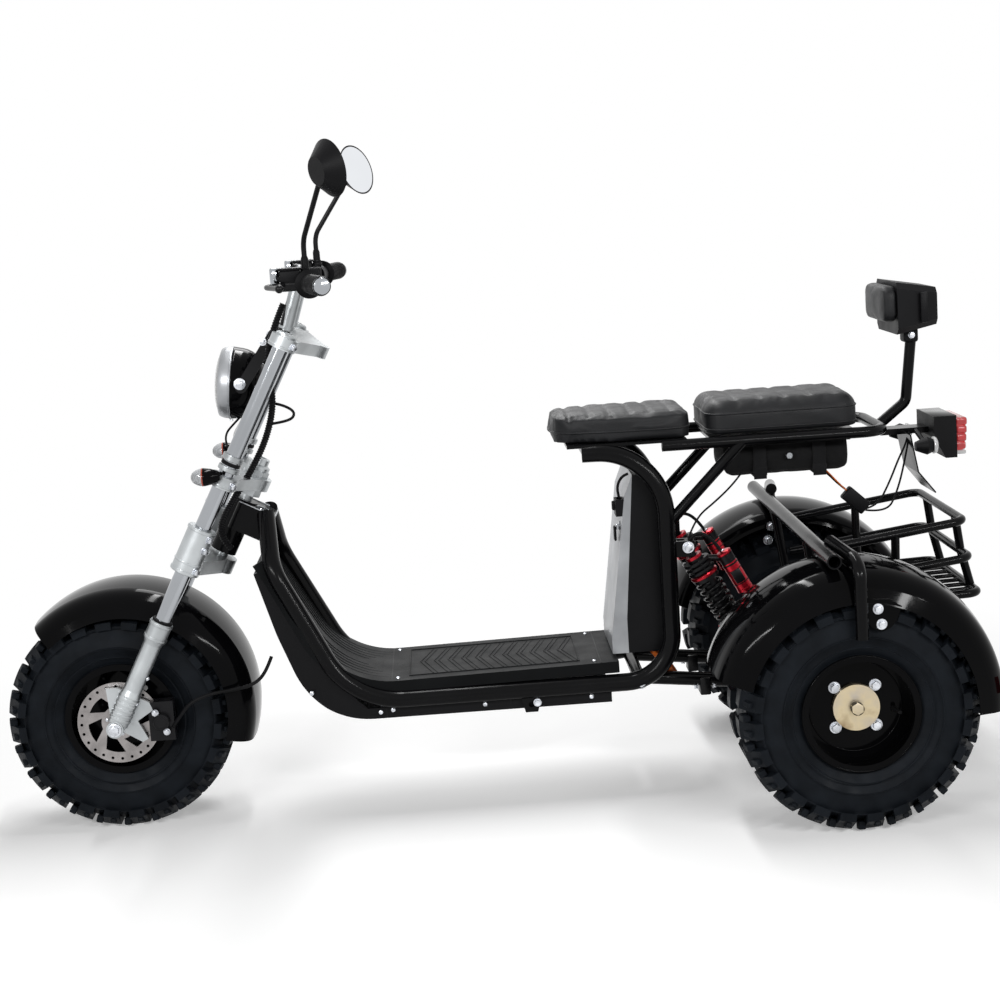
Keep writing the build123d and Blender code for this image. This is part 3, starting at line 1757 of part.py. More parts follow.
finish(brake_caliper, "brake_caliper")

# Isolator and keyed lock on the electrics case
isolator_x = (385.0, 408.0)
isolator_z = (572.0, 606.0)
isolator_side = (60.0, 98.0)
with BuildPart() as switch_block:
    with Locations(
        at_axle(sum(isolator_x) / 2, sum(isolator_side) / 2, sum(isolator_z) / 2)
    ):
        Box(
            isolator_x[1] - isolator_x[0],
            isolator_side[1] - isolator_side[0],
            isolator_z[1] - isolator_z[0],
        )
    add(battery_case.part, mode=Mode.SUBTRACT)
    add(case_panel.part, mode=Mode.SUBTRACT)
finish(switch_block, "switch_block")

# The cords themselves, cut clear of what they pass and end on
for name, route, radius in (
    ("cable_loom", loom_route, loom_r),
    ("brake_hose", hose_route, hose_r),
):
    cable = tube(route, bends(route, bend_share), radius)
    with BuildPart() as cable_piece:
        add(cable)
        add(fork_yokes.part, mode=Mode.SUBTRACT)
        add(fork_tubes.part, mode=Mode.SUBTRACT)
        add(handlebar.part, mode=Mode.SUBTRACT)
        add(brake_caliper.part, mode=Mode.SUBTRACT)
        add(caliper_bracket.part, mode=Mode.SUBTRACT)
    finish(cable_piece, name)
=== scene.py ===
"""An electric trike scooter: its finishes, soft parts and small fittings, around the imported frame.

Lengths are in metres and in the frame of the part: +X forwards, +Y to the driver's left, +Z up.
"""

from __future__ import annotations

import json
import logging
import math
from dataclasses import dataclass, field
from enum import Enum
from typing import Iterable, Sequence

import bmesh
import bpy
from mathutils import Matrix, Vector
from mathutils.bvhtree import BVHTree


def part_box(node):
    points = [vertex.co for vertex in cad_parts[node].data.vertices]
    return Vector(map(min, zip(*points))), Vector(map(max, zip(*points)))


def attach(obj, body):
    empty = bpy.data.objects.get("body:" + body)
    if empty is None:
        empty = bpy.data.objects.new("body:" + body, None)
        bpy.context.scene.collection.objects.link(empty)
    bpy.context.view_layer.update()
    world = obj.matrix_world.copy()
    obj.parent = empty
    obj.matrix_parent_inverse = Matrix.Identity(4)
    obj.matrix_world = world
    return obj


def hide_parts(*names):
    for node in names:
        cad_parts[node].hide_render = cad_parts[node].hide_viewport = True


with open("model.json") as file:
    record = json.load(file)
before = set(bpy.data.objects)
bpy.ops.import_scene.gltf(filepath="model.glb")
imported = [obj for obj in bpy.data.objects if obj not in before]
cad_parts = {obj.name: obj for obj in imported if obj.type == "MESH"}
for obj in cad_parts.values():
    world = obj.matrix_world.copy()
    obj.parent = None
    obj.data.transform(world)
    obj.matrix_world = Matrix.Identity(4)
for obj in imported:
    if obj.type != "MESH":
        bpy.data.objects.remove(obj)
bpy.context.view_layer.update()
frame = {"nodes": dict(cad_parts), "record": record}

LOG = logging.getLogger("trike")
Point = Sequence[float]
MM = 0.001
REAR_AXLE_X = -0.671
FRONT_AXLE_X = 0.759
AXLE_Z = 0.228
HALF_TRACK = 0.350
RAKE = math.radians(28.0)
SIDES = (("left", 1), ("right", -1))


class Body(Enum):
    """The rigid bodies that a piece can ride on."""

    CHASSIS = "chassis"
    STEERING = "steering"
    FRONT_WHEEL = "front_wheel"
    REAR_LEFT = "rear_wheel_left"
    REAR_RIGHT = "rear_wheel_right"


def at_axle(ahead: float, side: float, up: float) -> Vector:
    """Place a point by its distance ahead of the rear axle.

    Args:
        ahead: Millimetres ahead of the rear axle.
        side: Millimetres to the left of the middle plane.
        up: Millimetres above the ground.

    Returns:
        The point in metres.
    """
    return Vector((REAR_AXLE_X + ahead * MM, side * MM, up * MM))


def at_fork(ahead: float, side: float, along: float) -> Vector:
    """Place a point in the raked plane of the fork legs.

    Args:
        ahead: Millimetres ahead of the legs, square to them.
        side: Millimetres to the left of the middle plane.
        along: Millimetres up the legs from the front axle.

    Returns:
        The point in metres.
    """
    return Vector(
        (
            FRONT_AXLE_X + (ahead * math.cos(RAKE) - along * math.sin(RAKE)) * MM,
            side * MM,
            AXLE_Z + (ahead * math.sin(RAKE) + along * math.cos(RAKE)) * MM,
        )
    )


FORK_UP = Vector((-math.sin(RAKE), 0.0, math.cos(RAKE)))
FORK_AHEAD = Vector((math.cos(RAKE), 0.0, math.sin(RAKE)))
LEFT = Vector((0.0, 1.0, 0.0))
UP = Vector((0.0, 0.0, 1.0))
FORWARDS = Vector((1.0, 0.0, 0.0))


def facing(origin: Vector, outward: Vector, across: Vector | None = None) -> Matrix:
    """Build a placement whose local Z axis points outward.

    Args:
        origin: Where the local origin lies.
        outward: The direction of local Z.
        across: A hint for local X. Any direction that isn't parallel to outward.

    Returns:
        The placement as a 4 by 4 matrix.
    """
    z_axis = outward.normalized()
    hint = across or (UP if abs(z_axis.z) < 0.9 else FORWARDS)
    y_axis = z_axis.cross(hint).normalized()
    x_axis = y_axis.cross(z_axis)
    turn = Matrix((x_axis, y_axis, z_axis)).transposed().to_4x4()
    return Matrix.Translation(origin) @ turn


def square_at(ahead: float, side: float, up: float) -> Matrix:
    """Return a placement square to the frame, by the measures that at_axle takes."""
    return Matrix.Translation(at_axle(ahead, side, up))


def shifted(place: Matrix, x: float, y: float, z: float) -> Matrix:
    """Return a placement moved along its own axes, by distances in metres."""
    return place @ Matrix.Translation((x, y, z))


def spoke(angle: float) -> Vector:
    """Return the direction across a wheel at an angle from straight ahead."""
    return Vector((math.cos(angle), 0.0, math.sin(angle)))


def straight(first: Vector, second: Vector, steps: int) -> list[Vector]:
    """Return evenly spaced points from first to second, with both ends."""
    return [first.lerp(second, k / steps) for k in range(steps + 1)]


def bead(radius: float, thick: float, corners: int) -> list[tuple[float, float]]:
    """Return a round ring's profile for a lathe, by its radius, half its thickness and its corners."""
    turns = (2 * math.pi * k / corners for k in range(corners))
    return [(radius + thick * math.cos(a), thick * math.sin(a)) for a in turns]


def soften_edges(mesh: bmesh.types.BMesh, edges: list, width: float, segments: int) -> list:
    """Bevel some edges of a mesh.

    Args:
        mesh: The mesh.
        edges: Its edges to soften.
        width: The width of the bevel, in metres.
        segments: The bevel's segments.

    Returns:
        The vertices of the bevel.
    """
    return bmesh.ops.bevel(
        mesh,
        geom=edges,
        offset=width,
        segments=segments,
        profile=0.5,
        affect="EDGES",
        material=-1,
        clamp_overlap=True,
    )["verts"]


def plain_block(size: Point) -> bmesh.types.BMesh:
    """Return a new mesh with one block of a size, in metres, round the origin."""
    mesh = bmesh.new()
    bmesh.ops.create_cube(mesh, size=1.0)
    bmesh.ops.scale(mesh, vec=size, verts=mesh.verts[:])
    return mesh


def as_object(name: str, mesh: bmesh.types.BMesh) -> bpy.types.Object:
    """Move a mesh into a new object that isn't in the scene yet, and free it."""
    data = bpy.data.meshes.new(name)
    mesh.to_mesh(data)
    mesh.free()
    return bpy.data.objects.new(name, data)


class NodeWeb:
    """Short calls for building one material's node tree."""

    def __init__(self, name: str) -> None:
        """Start an empty material with a Principled shader.

        Args:
            name: The material's name.
        """
        self.material = bpy.data.materials.new(name)
        self.material.use_nodes = True
        self.nodes = self.material.node_tree.nodes
        self.links = self.material.node_tree.links
        self.shader = self.nodes["Principled BSDF"]
        self.coords = self.nodes.new("ShaderNodeTexCoord")

    def mapped(self, place: Point = (0, 0, 0)) -> bpy.types.NodeSocket:
        """Return Object coordinates, measured from a place in metres."""
        mapping = self.nodes.new("ShaderNodeMapping")
        mapping.inputs["Location"].default_value = [-p for p in place]
        self.links.new(self.coords.outputs["Object"], mapping.inputs["Vector"])
        return mapping.outputs["Vector"]

    def noise(self, scale: float, detail: float) -> bpy.types.NodeSocket:
        """Return a noise over Object coordinates.

        Args:
            scale: The noise scale, in cycles per metre.
            detail: The number of octaves.

        Returns:
            The noise factor socket.
        """
        texture = self.nodes.new("ShaderNodeTexNoise")
        texture.inputs["Scale"].default_value = scale
        texture.inputs["Detail"].default_value = detail
        self.links.new(self.mapped(), texture.inputs["Vector"])
        return texture.outputs["Fac"]

    def cells(self, scale: float) -> bpy.types.NodeSocket:
        """Return the distance from the middle of Voronoi cells, so many to the metre."""
        texture = self.nodes.new("ShaderNodeTexVoronoi")
        texture.inputs["Scale"].default_value = scale
        self.links.new(self.mapped(), texture.inputs["Vector"])
        return texture.outputs["Distance"]

    def wave(self, lines: float, distortion: float = 0.0, place: Point = (0, 0, 0)) -> bpy.types.Node:
        """Return the node of a wave over Object coordinates.

        Args:
            lines: The wave's frequency, in radians per metre.
            distortion: How far its lines wander.
            place: The point that it is measured from.

        Returns:
            The wave texture, with its direction still to be set.
        """
        texture = self.nodes.new("ShaderNodeTexWave")
        texture.inputs["Scale"].default_value = lines / (2 * math.pi)
        texture.inputs["Distortion"].default_value = distortion
        self.links.new(self.mapped(place), texture.inputs["Vector"])
        return texture

    def math(self, operation: str, first: object, second: object = 0.5) -> bpy.types.NodeSocket:
        """Return the result of a Math node.

        Args:
            operation: The node's operation.
            first: A socket or a number.
            second: A socket or a number.

        Returns:
            The value socket.
        """
        node = self.nodes.new("ShaderNodeMath")
        node.operation = operation
        for socket, value in zip(node.inputs, (first, second)):
            if isinstance(value, (int, float)):
                socket.default_value = value
            else:
                self.links.new(value, socket)
        return node.outputs["Value"]

    def spread(self, value: bpy.types.NodeSocket, low: float, high: float) -> bpy.types.NodeSocket:
        """Map a factor from 0.3 to 0.7 onto a range.

        Args:
            value: The factor, such as a noise.
            low: The result at 0.3.
            high: The result at 0.7.

        Returns:
            The mapped value.
        """
        node = self.nodes.new("ShaderNodeMapRange")
        node.inputs["From Min"].default_value = 0.3
        node.inputs["From Max"].default_value = 0.7
        node.inputs["To Min"].default_value = low
        node.inputs["To Max"].default_value = high
        self.links.new(value, node.inputs["Value"])
        return node.outputs["Result"]

    def roughness(self, scale: float, detail: float, low: float, high: float) -> None:
        """Let the roughness wander from low to high, by a noise of that scale and detail."""
        value = self.spread(self.noise(scale, detail), low, high)
        self.links.new(value, self.shader.inputs["Roughness"])

    def tint(self, value: bpy.types.NodeSocket, stops: Sequence[tuple[float, Point]]) -> None:
        """Colour the shader's base by a ramp.

        Args:
            value: The factor that reads the ramp.
            stops: Pairs of a place on the ramp and a linear colour.
        """
        ramp = self.nodes.new("ShaderNodeValToRGB")
        elements = ramp.color_ramp.elements
        while len(elements) < len(stops):
            elements.new(0.5)
        for element, (place, colour) in zip(elements, stops):
            element.position = place
            element.color = (*colour, 1.0)
        self.links.new(value, ramp.inputs["Fac"])
        self.links.new(ramp.outputs["Color"], self.shader.inputs["Base Color"])

    def bump(self, height: bpy.types.NodeSocket, strength: float, depth: float) -> None:
        """Add a bump to the shader, on top of any earlier one.

        Args:
            height: The height field.
            strength: The share of the bump that is used.
            depth: The height in metres at a field value of 1.
        """
        node = self.nodes.new("ShaderNodeBump")
        node.inputs["Strength"].default_value = strength
        node.inputs["Distance"].default_value = depth
        self.links.new(height, node.inputs["Height"])
        normal = self.shader.inputs["Normal"]
        if normal.links:
            self.links.new(normal.links[0].from_socket, node.inputs["Normal"])
        self.links.new(node.outputs["Normal"], normal)

    def set(self, **values: object) -> None:
        """Set constants on the shader's own sockets, with _ for a space in a name."""
        for name, value in values.items():
            self.shader.inputs[name.replace("_", " ")].default_value = value


@dataclass(frozen=True)
class Paint:
    """A painted, plated or moulded finish with a fine surface of its own."""

    name: str
    colour: Point
    rough: float
    rough_spread: float = 0.06
    metallic: float = 0.0
    grain: float = 500.0
    grain_depth: float = 0.00003
    blotch: float = 6.0
    blotch_share: float = 0.25
    shine: float = 0.5

    def build(self) -> bpy.types.Material:
        """Return the material, with mottled colour, uneven gloss and a fine grain."""
        web = NodeWeb(self.name)
        darker = [c * (1 - self.blotch_share) for c in self.colour]
        lighter = [min(1.0, c * (1 + self.blotch_share)) for c in self.colour]
        web.tint(web.noise(self.blotch, 4.0), ((0.35, darker), (0.65, lighter)))
        least = max(0.02, self.rough - self.rough_spread)
        web.roughness(self.blotch * 3, 5.0, least, self.rough + self.rough_spread)
        web.bump(web.noise(self.grain, 2.0), 0.6, self.grain_depth)
        web.set(Metallic=self.metallic, Specular_IOR_Level=self.shine)
        return web.material


@dataclass(frozen=True)
class Leather:
    """Grained black upholstery."""

    name: str
    colour: Point

    def build(self) -> bpy.types.Material:
        """Return the material, with pebbled grain, creases and a soft sheen."""
        web = NodeWeb(self.name)
        darker = [c * 0.6 for c in self.colour]
        web.tint(web.noise(9.0, 5.0), ((0.35, darker), (0.7, self.colour)))
        web.roughness(26.0, 4.0, 0.38, 0.56)
        web.bump(web.cells(620.0), 0.5, 0.00035)
        web.bump(web.noise(90.0, 4.0), 0.35, 0.0008)
        web.set(Sheen_Weight=0.02, Sheen_Roughness=0.4, Specular_IOR_Level=0.22)
        return web.material


@dataclass(frozen=True)
class Weave:
    """Coarse woven bag cloth and webbing."""

    name: str
    colour: Point
    threads: float = 900.0

    def build(self) -> bpy.types.Material:
        """Return the material, with crossed threads in its relief."""
        web = NodeWeb(self.name)
        waves = []
        for direction in ("X", "Z"):
            wave = web.wave(self.threads, 0.4)
            wave.bands_direction = direction
            waves.append(wave.outputs["Fac"])
        crossed = web.math("MULTIPLY", waves[0], waves[1])
        darker = [c * 0.5 for c in self.colour]
        web.tint(web.noise(30.0, 4.0), ((0.3, darker), (0.7, self.colour)))
        web.bump(crossed, 0.6, 0.0006)
        web.bump(web.noise(40.0, 3.0), 0.5, 0.0015)
        web.set(Roughness=0.78, Sheen_Weight=0.08, Sheen_Roughness=0.5, Specular_IOR_Level=0.15)
        return web.material


@dataclass(frozen=True)
class Turned:
    """Metal machined on a lathe about the Y axis, with rings in its gloss and relief."""

    name: str
    colour: Point
    centre: Point
    rough: float
    rings: float

    def build(self) -> bpy.types.Material:
        """Return the material, with fine rings round the turning axis."""
        web = NodeWeb(self.name)
        wave = web.wave(self.rings, 0.6, self.centre)
        wave.wave_type = "RINGS"
        wave.rings_direction = "Y"
        darker = [c * 0.72 for c in self.colour]
        web.tint(web.noise(38.0, 5.0), ((0.35, darker), (0.65, self.colour)))
        web.roughness(60.0, 4.0, self.rough - 0.08, self.rough + 0.1)
        web.bump(wave.outputs["Fac"], 0.35, 0.00006)
        web.set(Metallic=1.0)
        return web.material


@dataclass(frozen=True)
class GoldZinc:
    """Yellow passivated zinc, with its stained patches."""

    name: str

    def build(self) -> bpy.types.Material:
        """Return the material, running from brass to a dull violet brown."""
        web = NodeWeb(self.name)
        stops = (
            (0.3, (0.33, 0.24, 0.14)),
            (0.5, (0.62, 0.52, 0.34)),
            (0.7, (0.5, 0.44, 0.36)),
        )
        web.tint(web.noise(22.0, 5.0), stops)
        web.roughness(45.0, 4.0, 0.28, 0.5)
        web.bump(web.noise(300.0, 3.0), 0.3, 0.0001)
        web.set(Metallic=0.9)
        return web.material


@dataclass(frozen=True)
class Rubber:
    """Tyre and grip rubber with a dusty bloom."""

    name: str
    colour: Point
    rough: float

    def build(self) -> bpy.types.Material:
        """Return the material, with mould grain and uneven dullness."""
        web = NodeWeb(self.name)
        lighter = [c * 2.1 for c in self.colour]
        web.tint(web.noise(18.0, 6.0), ((0.35, self.colour), (0.75, lighter)))
        web.roughness(35.0, 5.0, self.rough - 0.12, self.rough + 0.14)
        web.bump(web.noise(420.0, 4.0), 0.5, 0.0003)
        web.set(Specular_IOR_Level=0.07)
        return web.material


@dataclass(frozen=True)
class Lens:
    """A lamp lens or reflector with moulded flutes."""

    name: str
    colour: Point
    flutes: float
    direction: str
    transmission: float
    emission: float = 0.0
    rough: float = 0.08

    def build(self) -> bpy.types.Material:
        """Return the material, with flutes in its relief."""
        web = NodeWeb(self.name)
        wave = web.wave(self.flutes)
        wave.bands_direction = self.direction
        darker = [c * 0.75 for c in self.colour]
        web.tint(wave.outputs["Fac"], ((0.2, darker), (0.8, self.colour)))
        web.bump(wave.outputs["Fac"], 0.5, 0.0006)
        web.set(
            Roughness=self.rough,
            Transmission_Weight=self.transmission,
            Coat_Weight=0.6,
            Coat_Roughness=0.03,
        )
        if self.emission:
            web.set(Emission_Color=(*self.colour, 1.0), Emission_Strength=self.emission)
        return web.material


class Finishes:
    """Every finish of the machine, each built once."""

    def __init__(self) -> None:
        """Build the materials and key them by their names."""
        makers = (
            Paint("gloss_black", (0.002, 0.002, 0.0024), 0.08, 0.03, grain=160.0,
                  grain_depth=0.00001, shine=0.055),
            Paint("frame_paint", (0.003, 0.003, 0.0035), 0.19, 0.05, grain=420.0, shine=0.1),
            Paint("black_metal", (0.006, 0.006, 0.007), 0.3, 0.08, shine=0.16),
            Paint("black_plastic", (0.006, 0.006, 0.0068), 0.46, 0.07, grain=1100.0,
                  grain_depth=0.00012, shine=0.1),
            Paint("deck_plastic", (0.006, 0.0065, 0.007), 0.46, 0.07, grain=1400.0,
                  grain_depth=0.00022, shine=0.05),
            Paint("silver_panel", (0.35, 0.36, 0.375), 0.36, 0.06, 0.7, grain=900.0),
            Paint("cast_aluminium", (0.41, 0.43, 0.44), 0.36, 0.09, 0.9, grain=700.0,
                  grain_depth=0.00010),
            Paint("chrome", (0.37, 0.385, 0.405), 0.1, 0.03, 1.0, grain=200.0,
                  grain_depth=0.00001, blotch_share=0.06),
            Paint("zinc_steel", (0.66, 0.68, 0.72), 0.28, 0.09, 0.9, blotch=60.0),
            Paint("red_anodised", (0.50, 0.010, 0.024), 0.26, 0.07, 0.75, grain=800.0),
            Paint("mirror_glass", (0.82, 0.84, 0.87), 0.03, 0.01, 1.0, grain=80.0,
                  grain_depth=0.000002, blotch_share=0.02),
            Paint("orange_cable", (0.75, 0.16, 0.02), 0.4, 0.06),
            Leather("seat_leather", (0.011, 0.0115, 0.013)),
            Weave("bag_fabric", (0.007, 0.007, 0.0075)),
            Weave("webbing", (0.010, 0.010, 0.011), 1500.0),
            Turned("disc_steel", (0.34, 0.32, 0.315), (FRONT_AXLE_X, 0.0, AXLE_Z), 0.3, 900.0),
            GoldZinc("gold_zinc"),
            Rubber("tyre_rubber", (0.0055, 0.0068, 0.0088), 0.5),
            Rubber("black_rubber", (0.006, 0.006, 0.0065), 0.45),
            Lens("amber_lens", (0.45, 0.05, 0.01), 600.0, "Z", 0.0, 0.04),
            Lens("clear_lens", (0.62, 0.64, 0.66), 700.0, "Y", 0.25),
            Lens("red_lens", (0.62, 0.012, 0.016), 500.0, "Y", 0.0, 0.12),
            Lens("white_lens", (0.80, 0.80, 0.80), 500.0, "Y", 0.1, 0.1),
        )
        self.materials = {maker.name: maker.build() for maker in makers}
        self.slots = {m["slot"] for m in frame["record"]["materials"]}

    def dress_nodes(self) -> None:
        """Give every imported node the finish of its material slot."""
        slot_of = {p["node"]: p["material_slot"] for p in frame["record"]["subparts"]}
        for name, node in frame["nodes"].items():
            material = self.materials[slot_of[name]]
            node.data.materials.clear()
            node.data.materials.append(material)
            LOG.info("dressed %s in %s", name, material.name)


@dataclass
class Piece:
    """One mesh piece while it is being made."""

    name: str
    body: Body
    finish: str
    mesh: bmesh.types.BMesh = field(default_factory=bmesh.new)

    def lathe(self, profile: Sequence[Point], place: Matrix, steps: int = 48) -> None:
        """Turn a profile into a solid or a ring.

        Args:
            profile: Points (radius, height), in metres. One that starts and ends on the axis
                closes a solid. Any other is joined end to end into a ring.
            place: Where the axis stands: local Z is the turning axis.
            steps: The number of flats in a full turn.
        """
        verts = [self.mesh.verts.new((r, 0.0, h)) for r, h in profile]
        edges = [self.mesh.edges.new(pair) for pair in zip(verts, verts[1:])]
        if profile[0][0] > 1e-6 or profile[-1][0] > 1e-6:
            edges.append(self.mesh.edges.new((verts[-1], verts[0])))
        before = set(self.mesh.faces)
        bmesh.ops.spin(
            self.mesh,
            geom=verts + edges,
            cent=(0, 0, 0),
            axis=(0, 0, 1),
            angle=2 * math.pi,
            steps=steps,
            use_merge=True,
        )
        self._close(before, place)

    def _close(self, before: set, place: Matrix) -> None:
        """Weld and turn outwards the faces made since before, then put them in place."""
        faces = [f for f in self.mesh.faces if f not in before]
        verts = list({v for f in faces for v in f.verts})
        bmesh.ops.remove_doubles(self.mesh, verts=verts, dist=1e-6)
        faces = [f for f in self.mesh.faces if f not in before]
        bmesh.ops.recalc_face_normals(self.mesh, faces=faces)
        verts = list({v for f in faces for v in f.verts})
        bmesh.ops.transform(self.mesh, matrix=place, verts=verts)

    def block(self, size: Point, place: Matrix, soften: float = 0.0, segments: int = 2) -> None:
        """Add a block with softened edges.

        Args:
            size: Its three sizes, in metres.
            place: Where its middle stands.
            soften: The width of the bevel.
            segments: The bevel's segments.
        """
        made = bmesh.ops.create_cube(self.mesh, size=1.0)["verts"]
        bmesh.ops.scale(self.mesh, vec=size, verts=made)
        if soften > 0:
            edges = list({e for v in made for e in v.link_edges})
            made = soften_edges(self.mesh, edges, soften, segments)
        linked = set(made)
        for vert in made:
            for edge in vert.link_edges:
                linked.update(edge.verts)
        bmesh.ops.transform(self.mesh, matrix=place, verts=list(linked))

    def prism(self, outline: Sequence[Point], thick: float, place: Matrix, soften: float = 0.0) -> None:
        """Add a plate of any outline.

        Args:
            outline: Points (x, y) in the plate's plane, in order.
            thick: Its thickness along local Z.
            place: Where the outline's origin stands.
            soften: The width of the bevel round both faces.
        """
        before = set(self.mesh.faces)
        verts = [self.mesh.verts.new((x, y, 0.0)) for x, y in outline]
        face = self.mesh.faces.new(verts)
        grown = bmesh.ops.extrude_face_region(self.mesh, geom=[face])["geom"]
        moved = [g for g in grown if isinstance(g, bmesh.types.BMVert)]
        bmesh.ops.translate(self.mesh, vec=(0, 0, thick), verts=moved)
        if soften > 0:
            caps = [f for f in self.mesh.faces if f not in before and len(f.verts) == len(outline)]
            rims = list({e for f in caps for e in f.edges})
            soften_edges(self.mesh, rims, soften, 2)
        self._close(before, place)

    def tube(self, points: Sequence[Vector], radii: Sequence[float] | float, sides: int) -> None:
        """Sweep circles along a path.

        Args:
            points: The path's points, closely spaced.
            radii: One radius for each point, or one for all of them.
            sides: The number of flats round the tube.
        """
        if isinstance(radii, float):
            radii = [radii] * len(points)
        before = set(self.mesh.faces)
        loops = []
        across = None
        for index, (point, radius) in enumerate(zip(points, radii)):
            ahead = points[min(index + 1, len(points) - 1)] - points[max(index - 1, 0)]
            if across is None:
                across = UP if abs(ahead.normalized().z) < 0.8 else FORWARDS
            place = facing(point, ahead, across)
            across = place.to_3x3().col[0]
            ring = bmesh.ops.create_circle(
                self.mesh, segments=sides, radius=radius, matrix=place
            )["verts"]
            loops.append(list({e for v in ring for e in v.link_edges}))
        for first, second in zip(loops, loops[1:]):
            bmesh.ops.bridge_loops(self.mesh, edges=first + second)
        bmesh.ops.contextual_create(self.mesh, geom=loops[0])
        bmesh.ops.contextual_create(self.mesh, geom=loops[-1])
        self._close(before, Matrix.Identity(4))

    def bolt(self, place: Matrix, across: float, tall: float, washer: float = 1.7) -> None:
        """Add a hexagon bolt head on a washer.

        Args:
            place: Where it seats: local Z points out of the surface.
            across: The head's size over its flats.
            tall: The head's height.
            washer: The washer's diameter as a share of the head's. 0 leaves it out.
        """
        lift = 0.0
        if washer > 0:
            lift = tall * 0.22
            outer = across * washer / 2
            self.lathe(
                ((0, 0), (outer, 0), (outer, lift * 0.7), (outer * 0.94, lift), (0, lift)),
                place,
                24,
            )
        corner = across / math.sqrt(3)
        outline = [
            (corner * math.cos(math.pi * k / 3), corner * math.sin(math.pi * k / 3))
            for k in range(6)
        ]
        self.prism(outline, tall, shifted(place, 0, 0, lift), across * 0.07)

    def dome_screw(self, place: Matrix, width: float) -> None:
        """Add a domed screw head with a hexagon socket.

        Args:
            place: Where it seats: local Z points out of the surface.
            width: The head's diameter.
        """
        r = width / 2
        profile = (
            (0, 0),
            (r, 0),
            (r, r * 0.22),
            (r * 0.82, r * 0.55),
            (r * 0.45, r * 0.72),
            (r * 0.45, r * 0.3),
            (0, r * 0.3),
        )
        self.lathe(profile, place, 18)

    def done(
        self, smooth: float = 35.0, replaced: Iterable[str] = (), slot: str | None = None
    ) -> bpy.types.Object:
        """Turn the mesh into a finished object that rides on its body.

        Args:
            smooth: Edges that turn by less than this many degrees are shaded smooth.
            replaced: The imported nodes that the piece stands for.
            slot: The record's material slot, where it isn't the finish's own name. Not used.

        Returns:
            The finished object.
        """
        piece = as_object(self.name, self.mesh)
        return finish_object(piece, self.body, self.finish, smooth, replaced)


def finish_object(
    piece: bpy.types.Object,
    body: Body,
    finish: str,
    smooth: float = 35.0,
    replaced: Iterable[str] = (),
) -> bpy.types.Object:
    """Link, shade, dress and mount one finished object.

    Args:
        piece: The object, with its place in its mesh.
        body: The body that it rides on.
        finish: The key of its finish.
        smooth: Edges that turn by less than this many degrees are shaded smooth.
        replaced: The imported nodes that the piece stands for.

    Returns:
        The same object.
    """
    bpy.context.scene.collection.objects.link(piece)
    piece.data.materials.clear()
    piece.data.materials.append(FINISHES.materials[finish])
    piece.data.shade_smooth()
    piece.data.set_sharp_from_angle(angle=math.radians(smooth))
    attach(piece, body.value)
    names = list(replaced)
    if names:
        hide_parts(*names)
    LOG.info("made %s with %d faces", piece.name, len(piece.data.polygons))
    return piece


def smooth_route(points: Sequence[Vector], spacing: float) -> list[Vector]:
    """Sample a smooth NURBS path at even spacing.

    Args:
        points: The route's control points.
        spacing: The distance between samples, in metres.

    Returns:
        Points along the smooth path.
    """
    curve = bpy.data.curves.new("route", "CURVE")
    curve.dimensions = "3D"
    curve.resolution_u = 24
    spline = curve.splines.new("NURBS")
    spline.points.add(len(points) - 1)
    for slot, point in zip(spline.points, points):
        slot.co = (*point, 1.0)
    spline.order_u = 3
    spline.use_endpoint_u = True
    holder = bpy.data.objects.new("route", curve)
    data = bpy.data.meshes.new_from_object(holder)
    dense = [v.co.copy() for v in data.vertices]
    bpy.data.objects.remove(holder)
    bpy.data.curves.remove(curve)
    bpy.data.meshes.remove(data)
    return even_spacing(dense, spacing)


def even_spacing(dense: Sequence[Vector], spacing: float) -> list[Vector]:
    """Resample a path of close points at an even spacing.

    Args:
        dense: The path's points.
        spacing: The distance between the new points, in metres.

    Returns:
        The new points, with both ends kept.
    """
    lengths = [0.0]
    for first, second in zip(dense, dense[1:]):
        lengths.append(lengths[-1] + (second - first).length)
    count = max(2, round(lengths[-1] / spacing))
    places = []
    index = 0
    for step in range(count + 1):
        target = lengths[-1] * step / count
        while index < len(lengths) - 2 and lengths[index + 1] < target:
            index += 1
        run = lengths[index + 1] - lengths[index]
        share = (target - lengths[index]) / run if run else 0.0
        places.append(dense[index].lerp(dense[index + 1], share))
    return places


def seen_rays(nodes: bpy.types.Nodes, links: bpy.types.NodeLinks) -> bpy.types.NodeSocket:
    """Return 1 for rays from the camera, off a gloss or through glass, and 0 for the rest.

    Args:
        nodes: The node tree's nodes.
        links: The node tree's links.

    Returns:
        The clamped sum's socket.
    """
    rays = nodes.new("ShaderNodeLightPath")
    total = rays.outputs["Is Camera Ray"]
    for name in ("Is Glossy Ray", "Is Transmission Ray"):
        node = nodes.new("ShaderNodeMath")
        node.operation = "ADD"
        node.use_clamp = True
        links.new(total, node.inputs[0])
        links.new(rays.outputs[name], node.inputs[1])
        total = node.outputs["Value"]
    return total


